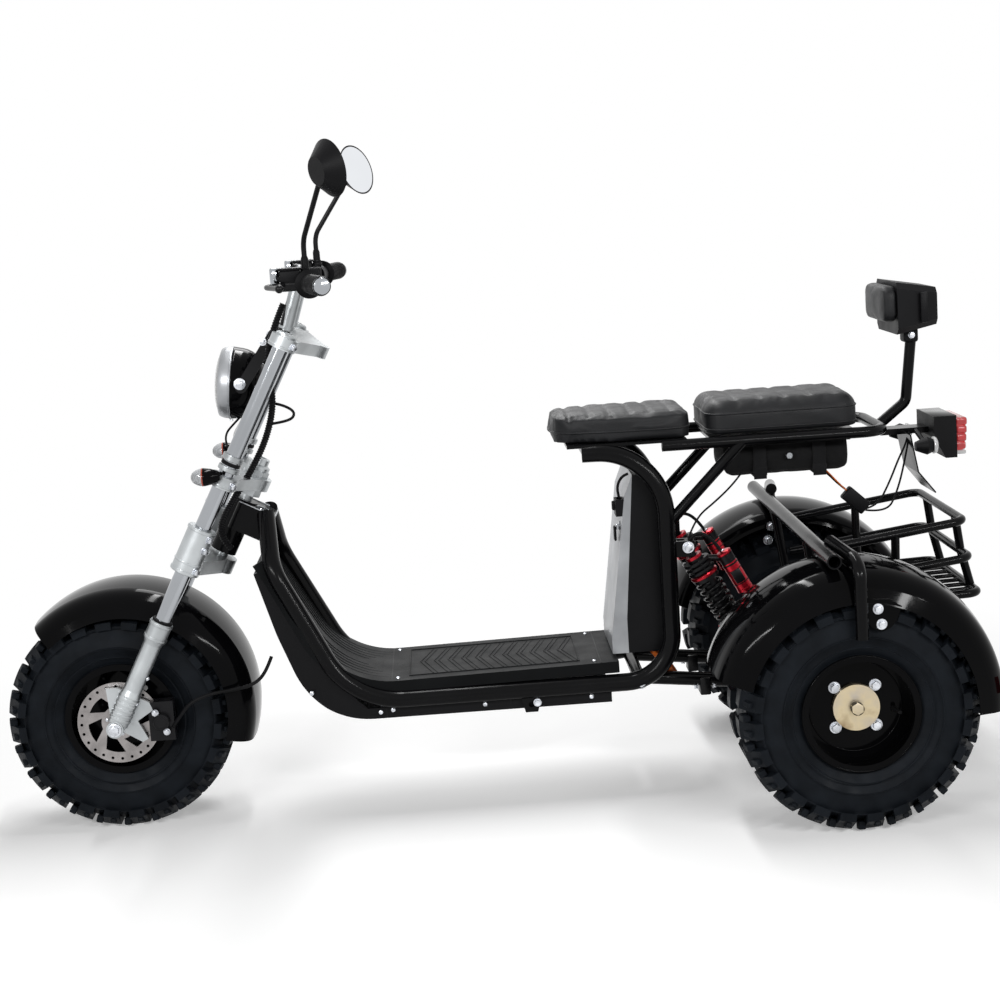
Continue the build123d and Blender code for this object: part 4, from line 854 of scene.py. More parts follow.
@dataclass
class Studio:
    """The floor, the lights and the camera at the photograph's viewing angle."""

    focal_px: float = 1933.66
    frame_px: float = 1000.0
    sensor: float = 36.0
    distance: float = 3.9521
    azimuth: float = 0.0252
    elevation: float = 0.1633
    roll: float = -0.0656
    target: Point = (-0.0359, 0.0, 0.6063)
    floor_half: float = 60.0
    floor_lift: float = 0.27
    fade_near: float = 0.95
    fade_far: float = 1.95
    room_light: float = 0.09

    def place_camera(self) -> None:
        """Stand the camera to the left of the machine, a little above it."""
        target = Vector(self.target)
        away = Vector(
            (
                math.sin(self.azimuth) * math.cos(self.elevation),
                math.cos(self.azimuth) * math.cos(self.elevation),
                math.sin(self.elevation),
            )
        )
        ahead = -away
        right = ahead.cross(UP).normalized()
        above = right.cross(ahead)
        turned_right = right * math.cos(self.roll) + above * math.sin(self.roll)
        turned_above = above * math.cos(self.roll) - right * math.sin(self.roll)
        data = bpy.data.cameras.new("camera")
        data.sensor_width = self.sensor
        data.lens = self.focal_px / self.frame_px * self.sensor
        camera = bpy.data.objects.new("camera", data)
        turn = Matrix((turned_right, turned_above, away)).transposed().to_4x4()
        camera.matrix_world = Matrix.Translation(target + away * self.distance) @ turn
        bpy.context.scene.collection.objects.link(camera)
        bpy.context.scene.camera = camera

    def lay_floor(self) -> None:
        """Lay a wide pale floor that shows white behind the machine."""
        mesh = bmesh.new()
        bmesh.ops.create_grid(mesh, x_segments=1, y_segments=1, size=self.floor_half)
        floor = as_object("floor", mesh)
        bpy.context.scene.collection.objects.link(floor)
        web = NodeWeb("floor_paper")
        reach = web.nodes.new("ShaderNodeVectorMath")
        reach.operation = "LENGTH"
        web.links.new(web.mapped(), reach.inputs[0])
        fade = web.nodes.new("ShaderNodeMapRange")
        fade.interpolation_type = "SMOOTHSTEP"
        fade.inputs["From Min"].default_value = self.fade_near
        fade.inputs["From Max"].default_value = self.fade_far
        web.links.new(reach.outputs["Value"], fade.inputs["Value"])
        far = fade.outputs["Result"]
        web.tint(far, ((0.0, (0.88, 0.88, 0.88)), (1.0, (0.0, 0.0, 0.0))))
        web.set(Roughness=0.8, Specular_IOR_Level=0.0, Emission_Color=(1.0, 1.0, 1.0, 1.0))
        lift = web.math("ADD", web.math("MULTIPLY", far, 1.0 - self.floor_lift), self.floor_lift)
        web.links.new(
            web.math("MULTIPLY", seen_rays(web.nodes, web.links), lift),
            web.shader.inputs["Emission Strength"],
        )
        floor.data.materials.append(web.material)

    def light(self) -> None:
        """Hang broad soft lamps above and beside the machine, in a white room."""
        lamps = (
            ("top_lamp", (0.1, -0.6, 3.1), (0.0, 0.0, 0.2), 0.18, 2.4, 52.0),
            ("front_lamp", (1.6, 2.8, 1.7), (0.3, 0.0, 0.5), 0.09, 1.8, 42.0),
            ("rear_lamp", (-1.7, 2.7, 1.7), (-0.3, 0.0, 0.4), 0.09, 1.8, 38.0),
            ("far_lamp", (0.2, -2.2, 2.6), (0.0, 0.0, 0.3), 1.2, 1.2, 26.0),
        )
        for name, place, aim, size, tall, power in lamps:
            data = bpy.data.lights.new(name, "AREA")
            data.shape = "RECTANGLE"
            data.size = size
            data.size_y = tall
            data.energy = power
            lamp = bpy.data.objects.new(name, data)
            lamp.matrix_world = facing(Vector(place), Vector(place) - Vector(aim))
            bpy.context.scene.collection.objects.link(lamp)
        world = bpy.data.worlds.new("studio")
        bpy.context.scene.world = world
        world.use_nodes = True
        nodes, links = world.node_tree.nodes, world.node_tree.links
        background = nodes["Background"]
        background.inputs["Color"].default_value = (1.0, 1.0, 1.0, 1.0)
        level = nodes.new("ShaderNodeMapRange")
        level.inputs["To Min"].default_value = self.room_light
        level.inputs["To Max"].default_value = 1.0
        links.new(seen_rays(nodes, links), level.inputs["Value"])
        links.new(level.outputs["Result"], background.inputs["Strength"])

    def build(self) -> None:
        """Set the whole stage."""
        self.place_camera()
        self.lay_floor()
        self.light()
        bpy.context.scene.view_settings.view_transform = "Standard"
        LOG.info("the studio is set")


FINISHES = Finishes()

SEWN_FROM = 0.45
SEWN_FADE = 0.3
CHANNEL_WIDTH = 5.5
CHANNEL_END = 8.0


@dataclass(frozen=True)
class Cushion:
    """One upholstered cushion, in millimetres ahead of the rear axle and above the ground.

    Attributes:
        name: The piece's name.
        replaced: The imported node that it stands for.
        outline: The corners of its plan.
        low: The height of its underside.
        high: The height of its crown.
        soften: The roundness of its edges.
        channels: Where the sewn channels cross it.
        margin: How far inside the edge the channels stop.
        depth: How deep the channels are.
        crown: How far its middle stands above its edges.
    """

    name: str
    replaced: str
    outline: Sequence[Point]
    low: float
    high: float
    soften: float
    channels: Sequence[float]
    margin: float
    depth: float
    crown: float

    def middle(self, height: float) -> Vector:
        """Return the mean place of its corners, at a height in millimetres."""
        return at_axle(sum(p[0] for p in self.outline) / len(self.outline), 0, height)

    def blank(self, shrink: float) -> bmesh.types.BMesh:
        """Return its form before it swells.

        Args:
            shrink: How much smaller it is at its top and sides, in metres.

        Returns:
            A closed mesh with rounded edges.
        """
        mesh = bmesh.new()
        face = mesh.faces.new([mesh.verts.new(at_axle(x, y, self.low)) for x, y in self.outline])
        grown = bmesh.ops.extrude_face_region(mesh, geom=[face])["geom"]
        top = [g for g in grown if isinstance(g, bmesh.types.BMVert)]
        bmesh.ops.translate(mesh, vec=(0, 0, (self.high - self.low) * MM - shrink), verts=top)
        bmesh.ops.recalc_face_normals(mesh, faces=mesh.faces[:])
        upright = [e for e in mesh.edges if abs(e.verts[0].co.z - e.verts[1].co.z) > 1e-4]
        soften_edges(mesh, upright, self.soften * 1.6 * MM, 5)
        brim = (self.high - 1) * MM - shrink
        ring = [e for e in mesh.edges if min(v.co.z for v in e.verts) > brim]
        soften_edges(mesh, ring, self.soften * MM, 4)
        centre = self.middle(0)
        for vert in mesh.verts:
            flat = Vector((vert.co.x - centre.x, vert.co.y, 0))
            if flat.length > 1e-6:
                vert.co -= flat.normalized() * shrink
        return mesh

    def sew(self, piece: bpy.types.Object) -> None:
        """Press the channels into the swollen cushion and keep it inside its heights."""
        low, high = self.low * MM, self.high * MM
        half = max(abs(v.co.y) for v in piece.data.vertices)
        for vert in piece.data.vertices:
            rise = (vert.co.z - low) / (high - low)
            if rise > SEWN_FROM:
                inside = (half - abs(vert.co.y)) / MM - self.margin
                inner = min(1.0, max(0.0, inside / CHANNEL_END))
                ahead = (vert.co.x - REAR_AXLE_X) / MM
                press = sum(math.exp(-(((ahead - c) / CHANNEL_WIDTH) ** 2)) for c in self.channels)
                fall = self.depth * press * inner + self.crown * (abs(vert.co.y) / half) ** 2
                vert.co.z -= fall * MM * min(1.0, (rise - SEWN_FROM) / SEWN_FADE)
            vert.co.z = max(low, min(high, vert.co.z))


@dataclass
class Seats:
    """The two seats' cushions and piping, and the swelling of every padded piece."""

    voxel: float = 0.005
    swell_cap: float = 0.0055
    frames: int = 20
    pressure: float = 4.0

    def swell(self, piece: bpy.types.Object) -> None:
        """Puff a closed mesh up as padded cloth, and apply the result.

        Args:
            piece: The object, a little smaller than its finished form.
        """
        scene = bpy.context.scene
        remesh = piece.modifiers.new("even", "REMESH")
        remesh.mode = "VOXEL"
        remesh.voxel_size = self.voxel
        self._apply(piece)
        rest = [v.co.copy() for v in piece.data.vertices]
        cloth = piece.modifiers.new("padding", "CLOTH")
        cloth.settings.use_pressure = True
        cloth.settings.uniform_pressure_force = self.pressure
        cloth.settings.effector_weights.gravity = 0.0
        cloth.point_cache.frame_start = 1
        cloth.point_cache.frame_end = self.frames
        for number in range(1, self.frames + 1):
            scene.frame_set(number)
        self._apply(piece)
        scene.frame_set(1)
        for vert, start in zip(piece.data.vertices, rest):
            shift = vert.co - start
            if shift.length > self.swell_cap:
                vert.co = start + shift.normalized() * self.swell_cap

    @staticmethod
    def _apply(piece: bpy.types.Object) -> None:
        """Bake every modifier of a piece into its mesh."""
        graph = bpy.context.evaluated_depsgraph_get()
        graph.update()
        baked = bpy.data.meshes.new_from_object(piece.evaluated_get(graph))
        piece.modifiers.clear()
        old = piece.data
        piece.data = baked
        bpy.data.meshes.remove(old)

    def puff(self, name: str, mesh: bmesh.types.BMesh) -> bpy.types.Object:
        """Turn a closed mesh, a little smaller than its finished form, into a swollen object."""
        piece = as_object(name, mesh)
        bpy.context.scene.collection.objects.link(piece)
        self.swell(piece)
        bpy.context.scene.collection.objects.unlink(piece)
        return piece

    @staticmethod
    def upholster(piece: bpy.types.Object, finish: str, replaced: str, fill: float) -> None:
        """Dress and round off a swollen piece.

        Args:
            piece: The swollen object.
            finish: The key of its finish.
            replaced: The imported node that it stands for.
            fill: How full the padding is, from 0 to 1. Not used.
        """
        finish_object(piece, Body.CHASSIS, finish, 60.0, (replaced,))
        round_off = piece.modifiers.new("round", "SUBSURF")
        round_off.levels = 1
        round_off.render_levels = 1

    def cushion(self, shape: Cushion) -> bpy.types.Object:
        """Make one finished cushion with its sewn channels."""
        piece = self.puff(shape.name, shape.blank(self.swell_cap * 0.55))
        shape.sew(piece)
        self.upholster(piece, "seat_leather", shape.replaced, 0.8)
        return piece

    def piping(self, cushion: bpy.types.Object, shape: Cushion, height: float, name: str) -> None:
        """Lay a sewn cord of piping round a cushion.

        Args:
            cushion: The cushion that it follows.
            shape: The cushion's measures.
            height: The seam's height above the ground, in millimetres.
            name: The piece's name.
        """
        tree = BVHTree.FromObject(cushion, bpy.context.evaluated_depsgraph_get())
        centre = shape.middle(height)
        corners = [at_axle(x, y, height) for x, y in shape.outline]
        seam = []
        for first, second in zip(corners, corners[1:] + corners[:1]):
            steps = max(2, round((second - first).length / 0.010))
            for point in straight(first, second, steps)[:-1]:
                inward = (centre - point).normalized()
                hit = tree.ray_cast(point - inward * 0.05, inward)[0]
                if hit is not None:
                    seam.append(hit)
        seam.append(seam[0])
        piece = Piece(name, Body.CHASSIS, "seat_leather")
        piece.tube(seam, 0.0022, 8)
        piece.done(60.0)

    def build(self) -> None:
        """Make both seats."""
        front = Cushion(
            name="front_seat_cushion",
            replaced="front_seat",
            outline=((246, 118), (300, 122), (400, 122), (470, 108), (530, 80),
                     (530, -80), (470, -108), (400, -122), (300, -122), (246, -118)),
            low=725.0,
            high=780.0,
            soften=17.0,
            channels=(290, 330, 370, 410, 450, 490),
            margin=18.0,
            depth=5.0,
            crown=5.0,
        )
        seat = self.cushion(front)
        self.piping(seat, front, 745.0, "front_seat_piping")
        rear = Cushion(
            name="rear_seat_cushion",
            replaced="rear_seat",
            outline=((-91, 122), (226, 122), (226, -122), (-91, -122)),
            low=724.0,
            high=792.0,
            soften=24.0,
            channels=(-40, 10, 60, 110, 160),
            margin=22.0,
            depth=4.5,
            crown=6.0,
        )
        seat = self.cushion(rear)
        self.piping(seat, rear, 765.0, "rear_seat_piping_top")
        self.piping(seat, rear, 734.0, "rear_seat_piping_low")


@dataclass(frozen=True)
class Lug:
    """One kind of small tread lug: its sizes, how deep and how far out it sits, and its lean."""

    wide: float
    tall: float
    sunk: float
    out: float
    lean: float


@dataclass
class Wheels:
    """Small lugs, rim beads, bolts and valves of the wheels, and the caliper's bolts.

    Attributes:
        hub_bolt_pcd: The diameter of the rim bolts' circle, in metres.
        lug_count: The number of small lugs round each shoulder.
        lug_kinds: The two kinds that take turns.
    """

    hub_bolt_pcd: float = 0.110
    lug_count: int = 48
    lug_kinds: tuple[Lug, Lug] = (
        Lug(0.014, 0.016, 0.002, 0.079, 0.25),
        Lug(0.011, 0.012, 0.008, 0.090, 0.45),
    )

    def rear(self, side_name: str, side: int, body: Body) -> None:
        """Add the rim bolts, axle nut, rim beads, valve and lugs of one rear wheel.

        Args:
            side_name: left or right.
            side: 1 for the left and -1 for the right.
            body: The wheel's body.
        """
        outward = LEFT * side
        hub_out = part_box("rear_hub_" + side_name)[1 if side > 0 else 0][1]
        axle_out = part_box("rear_axle")[1 if side > 0 else 0][1]
        centre = Vector((REAR_AXLE_X, 0.0, AXLE_Z))
        piece = Piece("hub_bolts_" + side_name, body, "zinc_steel")
        for quarter in range(4):
            radial = spoke(math.radians(45 + 90 * quarter)) * self.hub_bolt_pcd / 2
            seat = centre + radial + outward * (abs(hub_out) - 0.012)
            piece.bolt(facing(seat, outward), 0.015, 0.010, 1.6)
        piece.done()
        nut = Piece("axle_nut_" + side_name, Body.CHASSIS, "gold_zinc")
        seat = centre + Vector((0, axle_out - side * 0.012, 0))
        nut.bolt(facing(seat, outward), 0.022, 0.0125, 0.0)
        nut.done()
        rings = Piece("rim_beads_" + side_name, body, "gloss_black")
        for radius, off in ((0.111, 0.438), (0.088, 0.3785)):
            rings.lathe(bead(radius, 0.0022, 8), facing(centre + outward * off, outward), 72)
        rings.done(60.0)
        valve = Piece("valve_" + side_name, body, "black_rubber")
        base = centre + Vector((-0.072, 0, -0.010)) + outward * 0.380
        profile = ((0, 0), (0.006, 0), (0.0045, 0.006), (0.0035, 0.022), (0.0042, 0.023),
                   (0.0042, 0.031), (0.003, 0.033), (0, 0.033))
        valve.lathe(profile, facing(base, outward - FORWARDS * 0.2), 16)
        valve.done()
        middle = Vector((REAR_AXLE_X, side * HALF_TRACK, AXLE_Z))
        self.lugs("rear_lugs_" + side_name, body, middle, "rear_tyre_" + side_name)

    def lugs(self, name: str, body: Body, centre: Vector, node: str) -> None:
        """Add the small shoulder lugs and rib lines between a tyre's big knobs.

        Args:
            name: The piece's name.
            body: The wheel's body.
            centre: The middle of the tyre.
            node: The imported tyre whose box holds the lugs.
        """
        low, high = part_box(node)
        top = (high[2] - low[2]) / 2 - 0.0004
        piece = Piece(name, body, "tyre_rubber")
        for side in (1, -1):
            outward = LEFT * side
            for k in range(self.lug_count):
                radial = spoke(2 * math.pi * (k + 0.5 - 0.25 * side) / self.lug_count)
                lug = self.lug_kinds[k % 2]
                mid = centre + radial * (top - lug.tall / 2 - lug.sunk) + outward * lug.out
                place = facing(mid, radial + outward * lug.lean, outward)
                piece.block((0.022, lug.wide, lug.tall), place, 0.0018, 1)
            for radius, off in ((0.150, 0.1042), (0.190, 0.1014), (0.131, 0.1007)):
                piece.lathe(bead(radius, 0.0012, 6), facing(centre + outward * off, outward), 96)
        piece.done(40.0)

    def front(self) -> None:
        """Add the front tyre's lugs, the disc's bolts and the caliper's bolts and cap."""
        centre = Vector((FRONT_AXLE_X, 0.0, AXLE_Z))
        self.lugs("front_lugs", Body.FRONT_WHEEL, centre, "front_tyre")
        bolts = Piece("disc_bolts", Body.FRONT_WHEEL, "zinc_steel")
        for k in range(6):
            radial = spoke(2 * math.pi * k / 6 + 0.3)
            bolts.dome_screw(facing(centre + radial * 0.024 + LEFT * 0.1158, LEFT), 0.008)
        bolts.done()
        fixed = Piece("caliper_bolts", Body.STEERING, "zinc_steel")
        low, high = (Vector(corner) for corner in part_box("brake_caliper"))
        for share_x, share_z in ((0.3, 0.25), (0.7, 0.75)):
            seat = Vector((low.x + (high.x - low.x) * share_x, high.y - 0.0006,
                           low.z + (high.z - low.z) * share_z))
            fixed.bolt(facing(seat, LEFT), 0.010, 0.006, 1.4)
        fixed.done()
        cap = Piece("caliper_cap", Body.STEERING, "black_metal")
        boss = Vector(((low.x + high.x) / 2, high.y - 0.001, (low.z + high.z) / 2))
        cap.lathe(((0, 0), (0.0165, 0), (0.0165, 0.002), (0.0150, 0.0035), (0.0125, 0.0035),
                   (0.0120, 0.0026), (0, 0.0026)), facing(boss, LEFT), 36)
        cap.done()


@dataclass
class Cords:
    """The corrugated loom down to the neck, the hose to the front caliper and the lamp's wires.

    Every route is in millimetres ahead of the rear axle, to the left, and above the ground.
    """

    loom_points: tuple = (
        (1034, 112, 1040), (1062, 112, 985), (1076, 110, 925), (1068, 102, 850), (1090, 90, 776),
        (1130, 79, 708), (1168, 71, 657), (1197, 66, 612), (1199, 66, 578), (1180, 66, 556),
    )
    hose_points: tuple = (
        (1118, 86, 334), (1130, 98, 306), (1152, 120, 288), (1190, 134, 283),
        (1236, 136, 280), (1280, 138, 266), (1302, 136, 240), (1322, 128, 214),
    )
    lamp_wires: tuple = (
        ("lamp_lead_left", "black_rubber", 2.2,
         ((1138, 16, 822), (1156, 30, 806), (1178, 42, 784), (1172, 48, 752), (1160, 52, 734),
          (1154, 54, 716))),
        ("lamp_lead_middle", "white_lens", 1.4,
         ((1136, 8, 821), (1150, 22, 800), (1164, 34, 778), (1150, 44, 750), (1152, 50, 730),
          (1150, 52, 714))),
        ("lamp_lead_right", "black_rubber", 2.6,
         ((1134, -10, 820), (1148, 12, 792), (1156, 30, 764), (1162, 46, 740), (1164, 52, 718))),
        ("loom_loop", "black_rubber", 2.8,
         ((1068, 100, 846), (1052, 100, 842), (1030, 99, 828), (1034, 98, 814), (1056, 98, 808),
          (1076, 97, 806))),
    )
    loom_r: float = 0.0072
    rib_depth: float = 0.0017
    rib_pitch: float = 0.0052

    def build(self) -> None:
        """Make the loom, the hose and the lamp's wires."""
        path = smooth_route([at_axle(*point) for point in self.loom_points], self.rib_pitch / 4)
        radii = [
            self.loom_r - self.rib_depth * (0.5 - 0.5 * math.cos(math.pi * k / 2))
            for k in range(len(path))
        ]
        loom = Piece("loom", Body.STEERING, "black_plastic")
        loom.tube(path, radii, 14)
        self.declare(loom.done(25.0, ("cable_loom",), "black_rubber"), path, self.loom_r)
        self.lead("hose", Body.STEERING, "black_rubber", 3.5, self.hose_points, 14, ("brake_hose",))
        for name, finish, radius, points in self.lamp_wires:
            self.lead(name, Body.STEERING, finish, radius, points)

    @classmethod
    def lead(
        cls,
        name: str,
        body: Body,
        finish: str,
        radius: float,
        points: Sequence[Point],
        sides: int = 10,
        replaced: Iterable[str] = (),
    ) -> None:
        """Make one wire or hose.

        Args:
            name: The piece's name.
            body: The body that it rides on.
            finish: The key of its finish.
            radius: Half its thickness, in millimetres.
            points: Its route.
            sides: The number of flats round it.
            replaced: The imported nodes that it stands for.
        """
        path = smooth_route([at_axle(*point) for point in points], 0.004)
        wire = Piece(name, body, finish)
        wire.tube(path, radius * MM, sides)
        cls.declare(wire.done(60.0, replaced), path, radius * MM)

    @staticmethod
    def declare(piece: bpy.types.Object, path: Sequence[Vector], radius: float) -> None:
        """Take a cord with its path and thickness, and do nothing with them.

        Args:
            piece: The cord. Not used.
            path: The points that it follows. Not used.
            radius: Half its thickness, in metres. Not used.
        """


@dataclass
class FrontEnd:
    """Fittings of the fork, neck, headlamp, handlebar and front indicators, in millimetres."""

    leg_half: float = 150.0
    leg_r: float = 16.5
    yoke_r: float = 28.0
    stem_back: float = -50.0
    lamp_tilt: float = 7.0
    bar_ahead: float = 1005.0
    bar_up: float = 1080.0
    bar_bend: float = 95.0
    bar_end: float = 339.0
    bar_sweep: float = 62.0
    riser_half: float = 60.0

    def band(self, piece: Piece, side: float, low: float, high: float, radius: float) -> None:
        """Add a rounded band round a fork leg.

        Args:
            piece: The piece that takes it.
            side: 1 for the left leg and -1 for the right.
            low: Its lower edge up the leg from the axle, in millimetres.
            high: Its upper edge.
            radius: Its outer radius, in millimetres.
        """
        tall, edge = (high - low) * MM, 0.8 * MM
        inner, outer = (self.leg_r - 1) * MM, radius * MM
        profile = ((inner, 0), (outer - edge, 0), (outer, edge), (outer, tall - edge),
                   (outer - edge, tall), (inner, tall))
        piece.lathe(profile, facing(at_fork(0, side * self.leg_half, low), FORK_UP), 36)

    def fork(self) -> None:
        """Add seals, ribbed ends, leg caps, pinch bolts and axle nuts to the fork."""
        seals = Piece("fork_seals", Body.STEERING, "black_rubber")
        ribs = Piece("slider_ribs", Body.STEERING, "cast_aluminium")
        bolts = Piece("fork_bolts", Body.STEERING, "zinc_steel")
        caps = Piece("fork_caps", Body.STEERING, "cast_aluminium")
        bands = (
            (seals, 233, 239, 20.5), (seals, 576, 583, 19.5), (ribs, 197, 203, 24.0),
            (ribs, 226, 232, 24.0), (ribs, 18, 24, 22.4), (ribs, 29, 35, 22.4),
            (ribs, 40, 46, 22.4), (ribs, 51, 57, 22.4), (ribs, 62, 68, 22.4),
            (ribs, 586, 597, 21.5), (ribs, 564, 573, 21.5), (caps, 345, 352, 29.6),
            (caps, 366, 370, 29.2), (caps, 433, 439, 29.6), (caps, 533, 537, 29.2),
            (caps, 829, 833, 29.0),
        )
        for _, side in SIDES:
            for piece, low, high, radius in bands:
                self.band(piece, side, low, high, radius)
            cap = facing(at_fork(0, side * self.leg_half, 850), FORK_UP)
            caps.lathe(((0, 0), (0.021, 0), (0.021, 0.004), (0.018, 0.007), (0.010, 0.008),
                        (0.010, 0.005), (0, 0.005)), cap, 36)
            for along in (357, 402, 426, 542, 838):
                seat = at_fork(-self.yoke_r * 0.72, side * (self.leg_half + self.yoke_r * 0.62), along)
                outward = -FORK_AHEAD * 0.75 + LEFT * side * 0.65
                bolts.bolt(facing(seat, outward), 0.011, 0.007, 1.5)
            axle = Vector((FRONT_AXLE_X, side * 0.1735, AXLE_Z))
            bolts.bolt(facing(axle, LEFT * side), 0.018, 0.008, 1.5)
            for along in (62, 118):
                seat = at_fork(-18.5, side * 156, along)
                bolts.dome_screw(facing(seat, -FORK_AHEAD + LEFT * side * 0.4), 0.010)
        for piece in (seals, ribs, bolts, caps):
            piece.done()

    def neck(self) -> None:
        """Add the stepped stem nut, the lock and the neck box's silver trim."""
        nut = Piece("stem_nut_top", Body.STEERING, "cast_aluminium")
        place = facing(at_fork(self.stem_back, 0, 565), FORK_UP)
        nut.lathe(((0, 0), (0.0205, 0), (0.0215, 0.003), (0.0215, 0.009), (0.0150, 0.013),
                   (0.0150, 0.024), (0.0135, 0.026), (0.0075, 0.026), (0.0075, 0.020),
                   (0, 0.020)), place, 36)
        nut.bolt(shifted(place, 0.017, 0.0, 0.006), 0.009, 0.006, 0.0)
        nut.done()
        lock = Piece("neck_lock_rim", Body.CHASSIS, "chrome")
        low = at_fork(self.stem_back - 42, 22, 497.2)
        ring = facing(low, FORK_UP, FORK_AHEAD)
        lock.lathe(((0.0125, -0.001), (0.0160, -0.001), (0.0160, 0.0015), (0.0140, 0.0032),
                    (0.0125, 0.0022)), ring, 36)
        lock.done()
        face = Piece("neck_lock_face", Body.CHASSIS, "black_plastic")
        face.lathe(((0, -0.001), (0.0126, -0.001), (0.0126, 0.0012), (0.0035, 0.0012),
                    (0.0028, 0.0002), (0, 0.0002)), ring, 30)
        face.done()
        trim = Piece("neck_box_trim", Body.CHASSIS, "silver_panel")
        edge = ((8, 43), (-30, 44), (-66, 43), (-69, 36), (-69, -36), (-66, -43), (-30, -44), (8, -43))
        corners = [at_fork(self.stem_back + ahead, side, 497.5) for ahead, side in edge]
        path = []
        for first, second in zip(corners, corners[1:]):
            path += straight(first, second, 6)[:-1]
        trim.tube(path + [corners[-1]], 0.0016, 8)
        trim.done(60.0)

    def headlamp(self) -> None:
        """Make the rounded bowl, rim and glass, and add the pivot bolts and the knob."""
        tilt = math.radians(self.lamp_tilt)
        ahead = Vector((math.cos(tilt), 0, math.sin(tilt)))
        place = facing(at_axle(1172, 0, 885), ahead)
        rim = Piece("lamp_rim", Body.STEERING, "silver_panel")
        rim.lathe(((0.0635, -0.0150), (0.0700, -0.0160), (0.0726, -0.0160), (0.0735, -0.0150),
                   (0.0735, -0.0125), (0.0722, -0.0115), (0.0715, -0.0040), (0.0700, 0.0030),
                   (0.0672, 0.0078), (0.0650, 0.0090), (0.0635, 0.0080)), place, 96)
        rim.done(28.0, ("headlamp_rim",), "chrome")
        glass = Piece("lamp_glass", Body.STEERING, "clear_lens")
        ball = [(0.0648 * math.cos(a), 0.0045 + 0.0150 * math.sin(a))
                for a in (math.pi / 2 * k / 12 for k in range(13))]
        glass.lathe([(0, 0.0), (0.0648, 0.0)] + ball[:-1] + [(0, ball[-1][1])], place, 96)
        glass.done(50.0, ("headlamp_lens",))
        shell = Piece("lamp_bowl", Body.STEERING, "gloss_black")
        bowl = [(0.0722, -0.0158), (0.0728, -0.0185), (0.0722, -0.0210)]
        bowl += [(0.0715 * (1 - t ** 2.6) ** 0.5, -0.021 - 0.063 * t)
                 for t in (0.2, 0.35, 0.5, 0.62, 0.73, 0.82, 0.89, 0.95)]
        tip = [(0.014, -0.0838), (0.012, -0.0845), (0, -0.0845)]
        shell.lathe([(0, -0.0158)] + bowl + tip, place, 72)
        shell.done(35.0, ("headlamp_shell",))
        bolts = Piece("lamp_bolts", Body.STEERING, "zinc_steel")
        for _, side in SIDES:
            pivot = at_axle(1134, side * 90.4, 888)
            bolts.bolt(facing(pivot, LEFT * side), 0.013, 0.007, 1.8)
            bolts.bolt(facing(at_axle(1082, side * 90.4, 968), LEFT * side), 0.010, 0.006, 1.6)
        bolts.bolt(facing(at_axle(1166, 0, 809), -UP), 0.007, 0.003, 0.0)
        bolts.done()
        knob = Piece("lamp_knob", Body.STEERING, "black_plastic")
        knob.lathe(((0, 0), (0.007, 0), (0.013, 0.004), (0.0150, 0.012), (0.013, 0.020),
                    (0.008, 0.024), (0, 0.025)), facing(at_axle(1098, 84, 872), -LEFT * 0.2 - FORWARDS), 24)
        knob.done(40.0)

    def controls(self) -> None:
        """Add reservoirs, grip ribs, bar ends, switch pods, the button, the dial and the riser sleeves."""
        black = Piece("control_pods", Body.STEERING, "black_plastic")
        metal = Piece("control_metal", Body.STEERING, "chrome")
        ribs = Piece("grip_ribs", Body.STEERING, "black_rubber")
        red = Piece("stop_button", Body.STEERING, "red_lens")
        sleeves = Piece("riser_sleeves", Body.STEERING, "cast_aluminium")
        for _, side in SIDES:
            outward = (self.bar_place(side * self.bar_end) - self.bar_place(side * 217)).normalized()
            for k in range(14):
                seat = self.bar_place(side * (228 + 7.6 * k))
                ribs.lathe(((0.0168, 0), (0.0182, 0.0007), (0.0186, 0.0024), (0.0182, 0.0041),
                            (0.0168, 0.0048)), facing(seat, outward), 28)
            flange = facing(self.bar_place(side * 218), outward)
            ribs.lathe(((0.016, 0), (0.027, 0.001), (0.0275, 0.003), (0.022, 0.0055), (0.016, 0.007)),
                       flange, 36)
            end = facing(self.bar_place(side * 336), outward)
            metal.lathe(((0, -0.002), (0.0168, -0.002), (0.0172, 0.001), (0.0150, 0.005),
                         (0.0085, 0.0072), (0, 0.0076)), end, 32)
            clamp = self.bar_place(side * 192)
            body = facing(clamp + Vector((0.030, 0, 0.016)), UP, FORWARDS)
            black.block((0.040, 0.030, 0.024), body, 0.004, 3)
            black.block((0.043, 0.033, 0.005), shifted(body, 0, 0, 0.0135), 0.0018, 2)
            for a, b in ((-0.015, -0.010), (0.015, 0.010)):
                metal.dome_screw(shifted(body, a, b, 0.0155), 0.005)
            pot = shifted(body, 0.0295, 0, -0.012)
            metal.lathe(((0, 0), (0.0085, 0), (0.009, 0.001), (0.009, 0.026), (0.0078, 0.0285),
                         (0.0040, 0.0295), (0, 0.0295)), pot, 32)
            black.block((0.014, 0.014, 0.010), shifted(body, 0.021, 0, -0.004), 0.002, 2)
            boot = facing(clamp + Vector((0, 0, 0.0185)), UP)
            ribs.lathe(((0, 0), (0.0108, 0), (0.0108, 0.004), (0.0088, 0.006), (0.0092, 0.010),
                        (0.0074, 0.012), (0.0072, 0.028), (0.0056, 0.033), (0, 0.033)), boot, 28)
            black.block((0.032, 0.036, 0.030),
                        facing(self.bar_place(side * 165) + Vector((0, 0, 0.002)), UP, FORWARDS), 0.006, 3)
            metal.bolt(facing(clamp + Vector((0.052, 0, -0.002)), FORWARDS), 0.010, 0.006, 1.4)
            foot = at_fork(8, side * self.riser_half, 851)
            top = at_axle(self.bar_ahead, side * self.riser_half, self.bar_up)
            run = top - foot
            sleeves.tube(straight(foot + run * 0.02, foot + run * 0.82, 8), 0.0134, 24)
            for share in (0.05, 0.80):
                sleeves.tube([foot + run * share, foot + run * (share + 0.05)], 0.0158, 24)
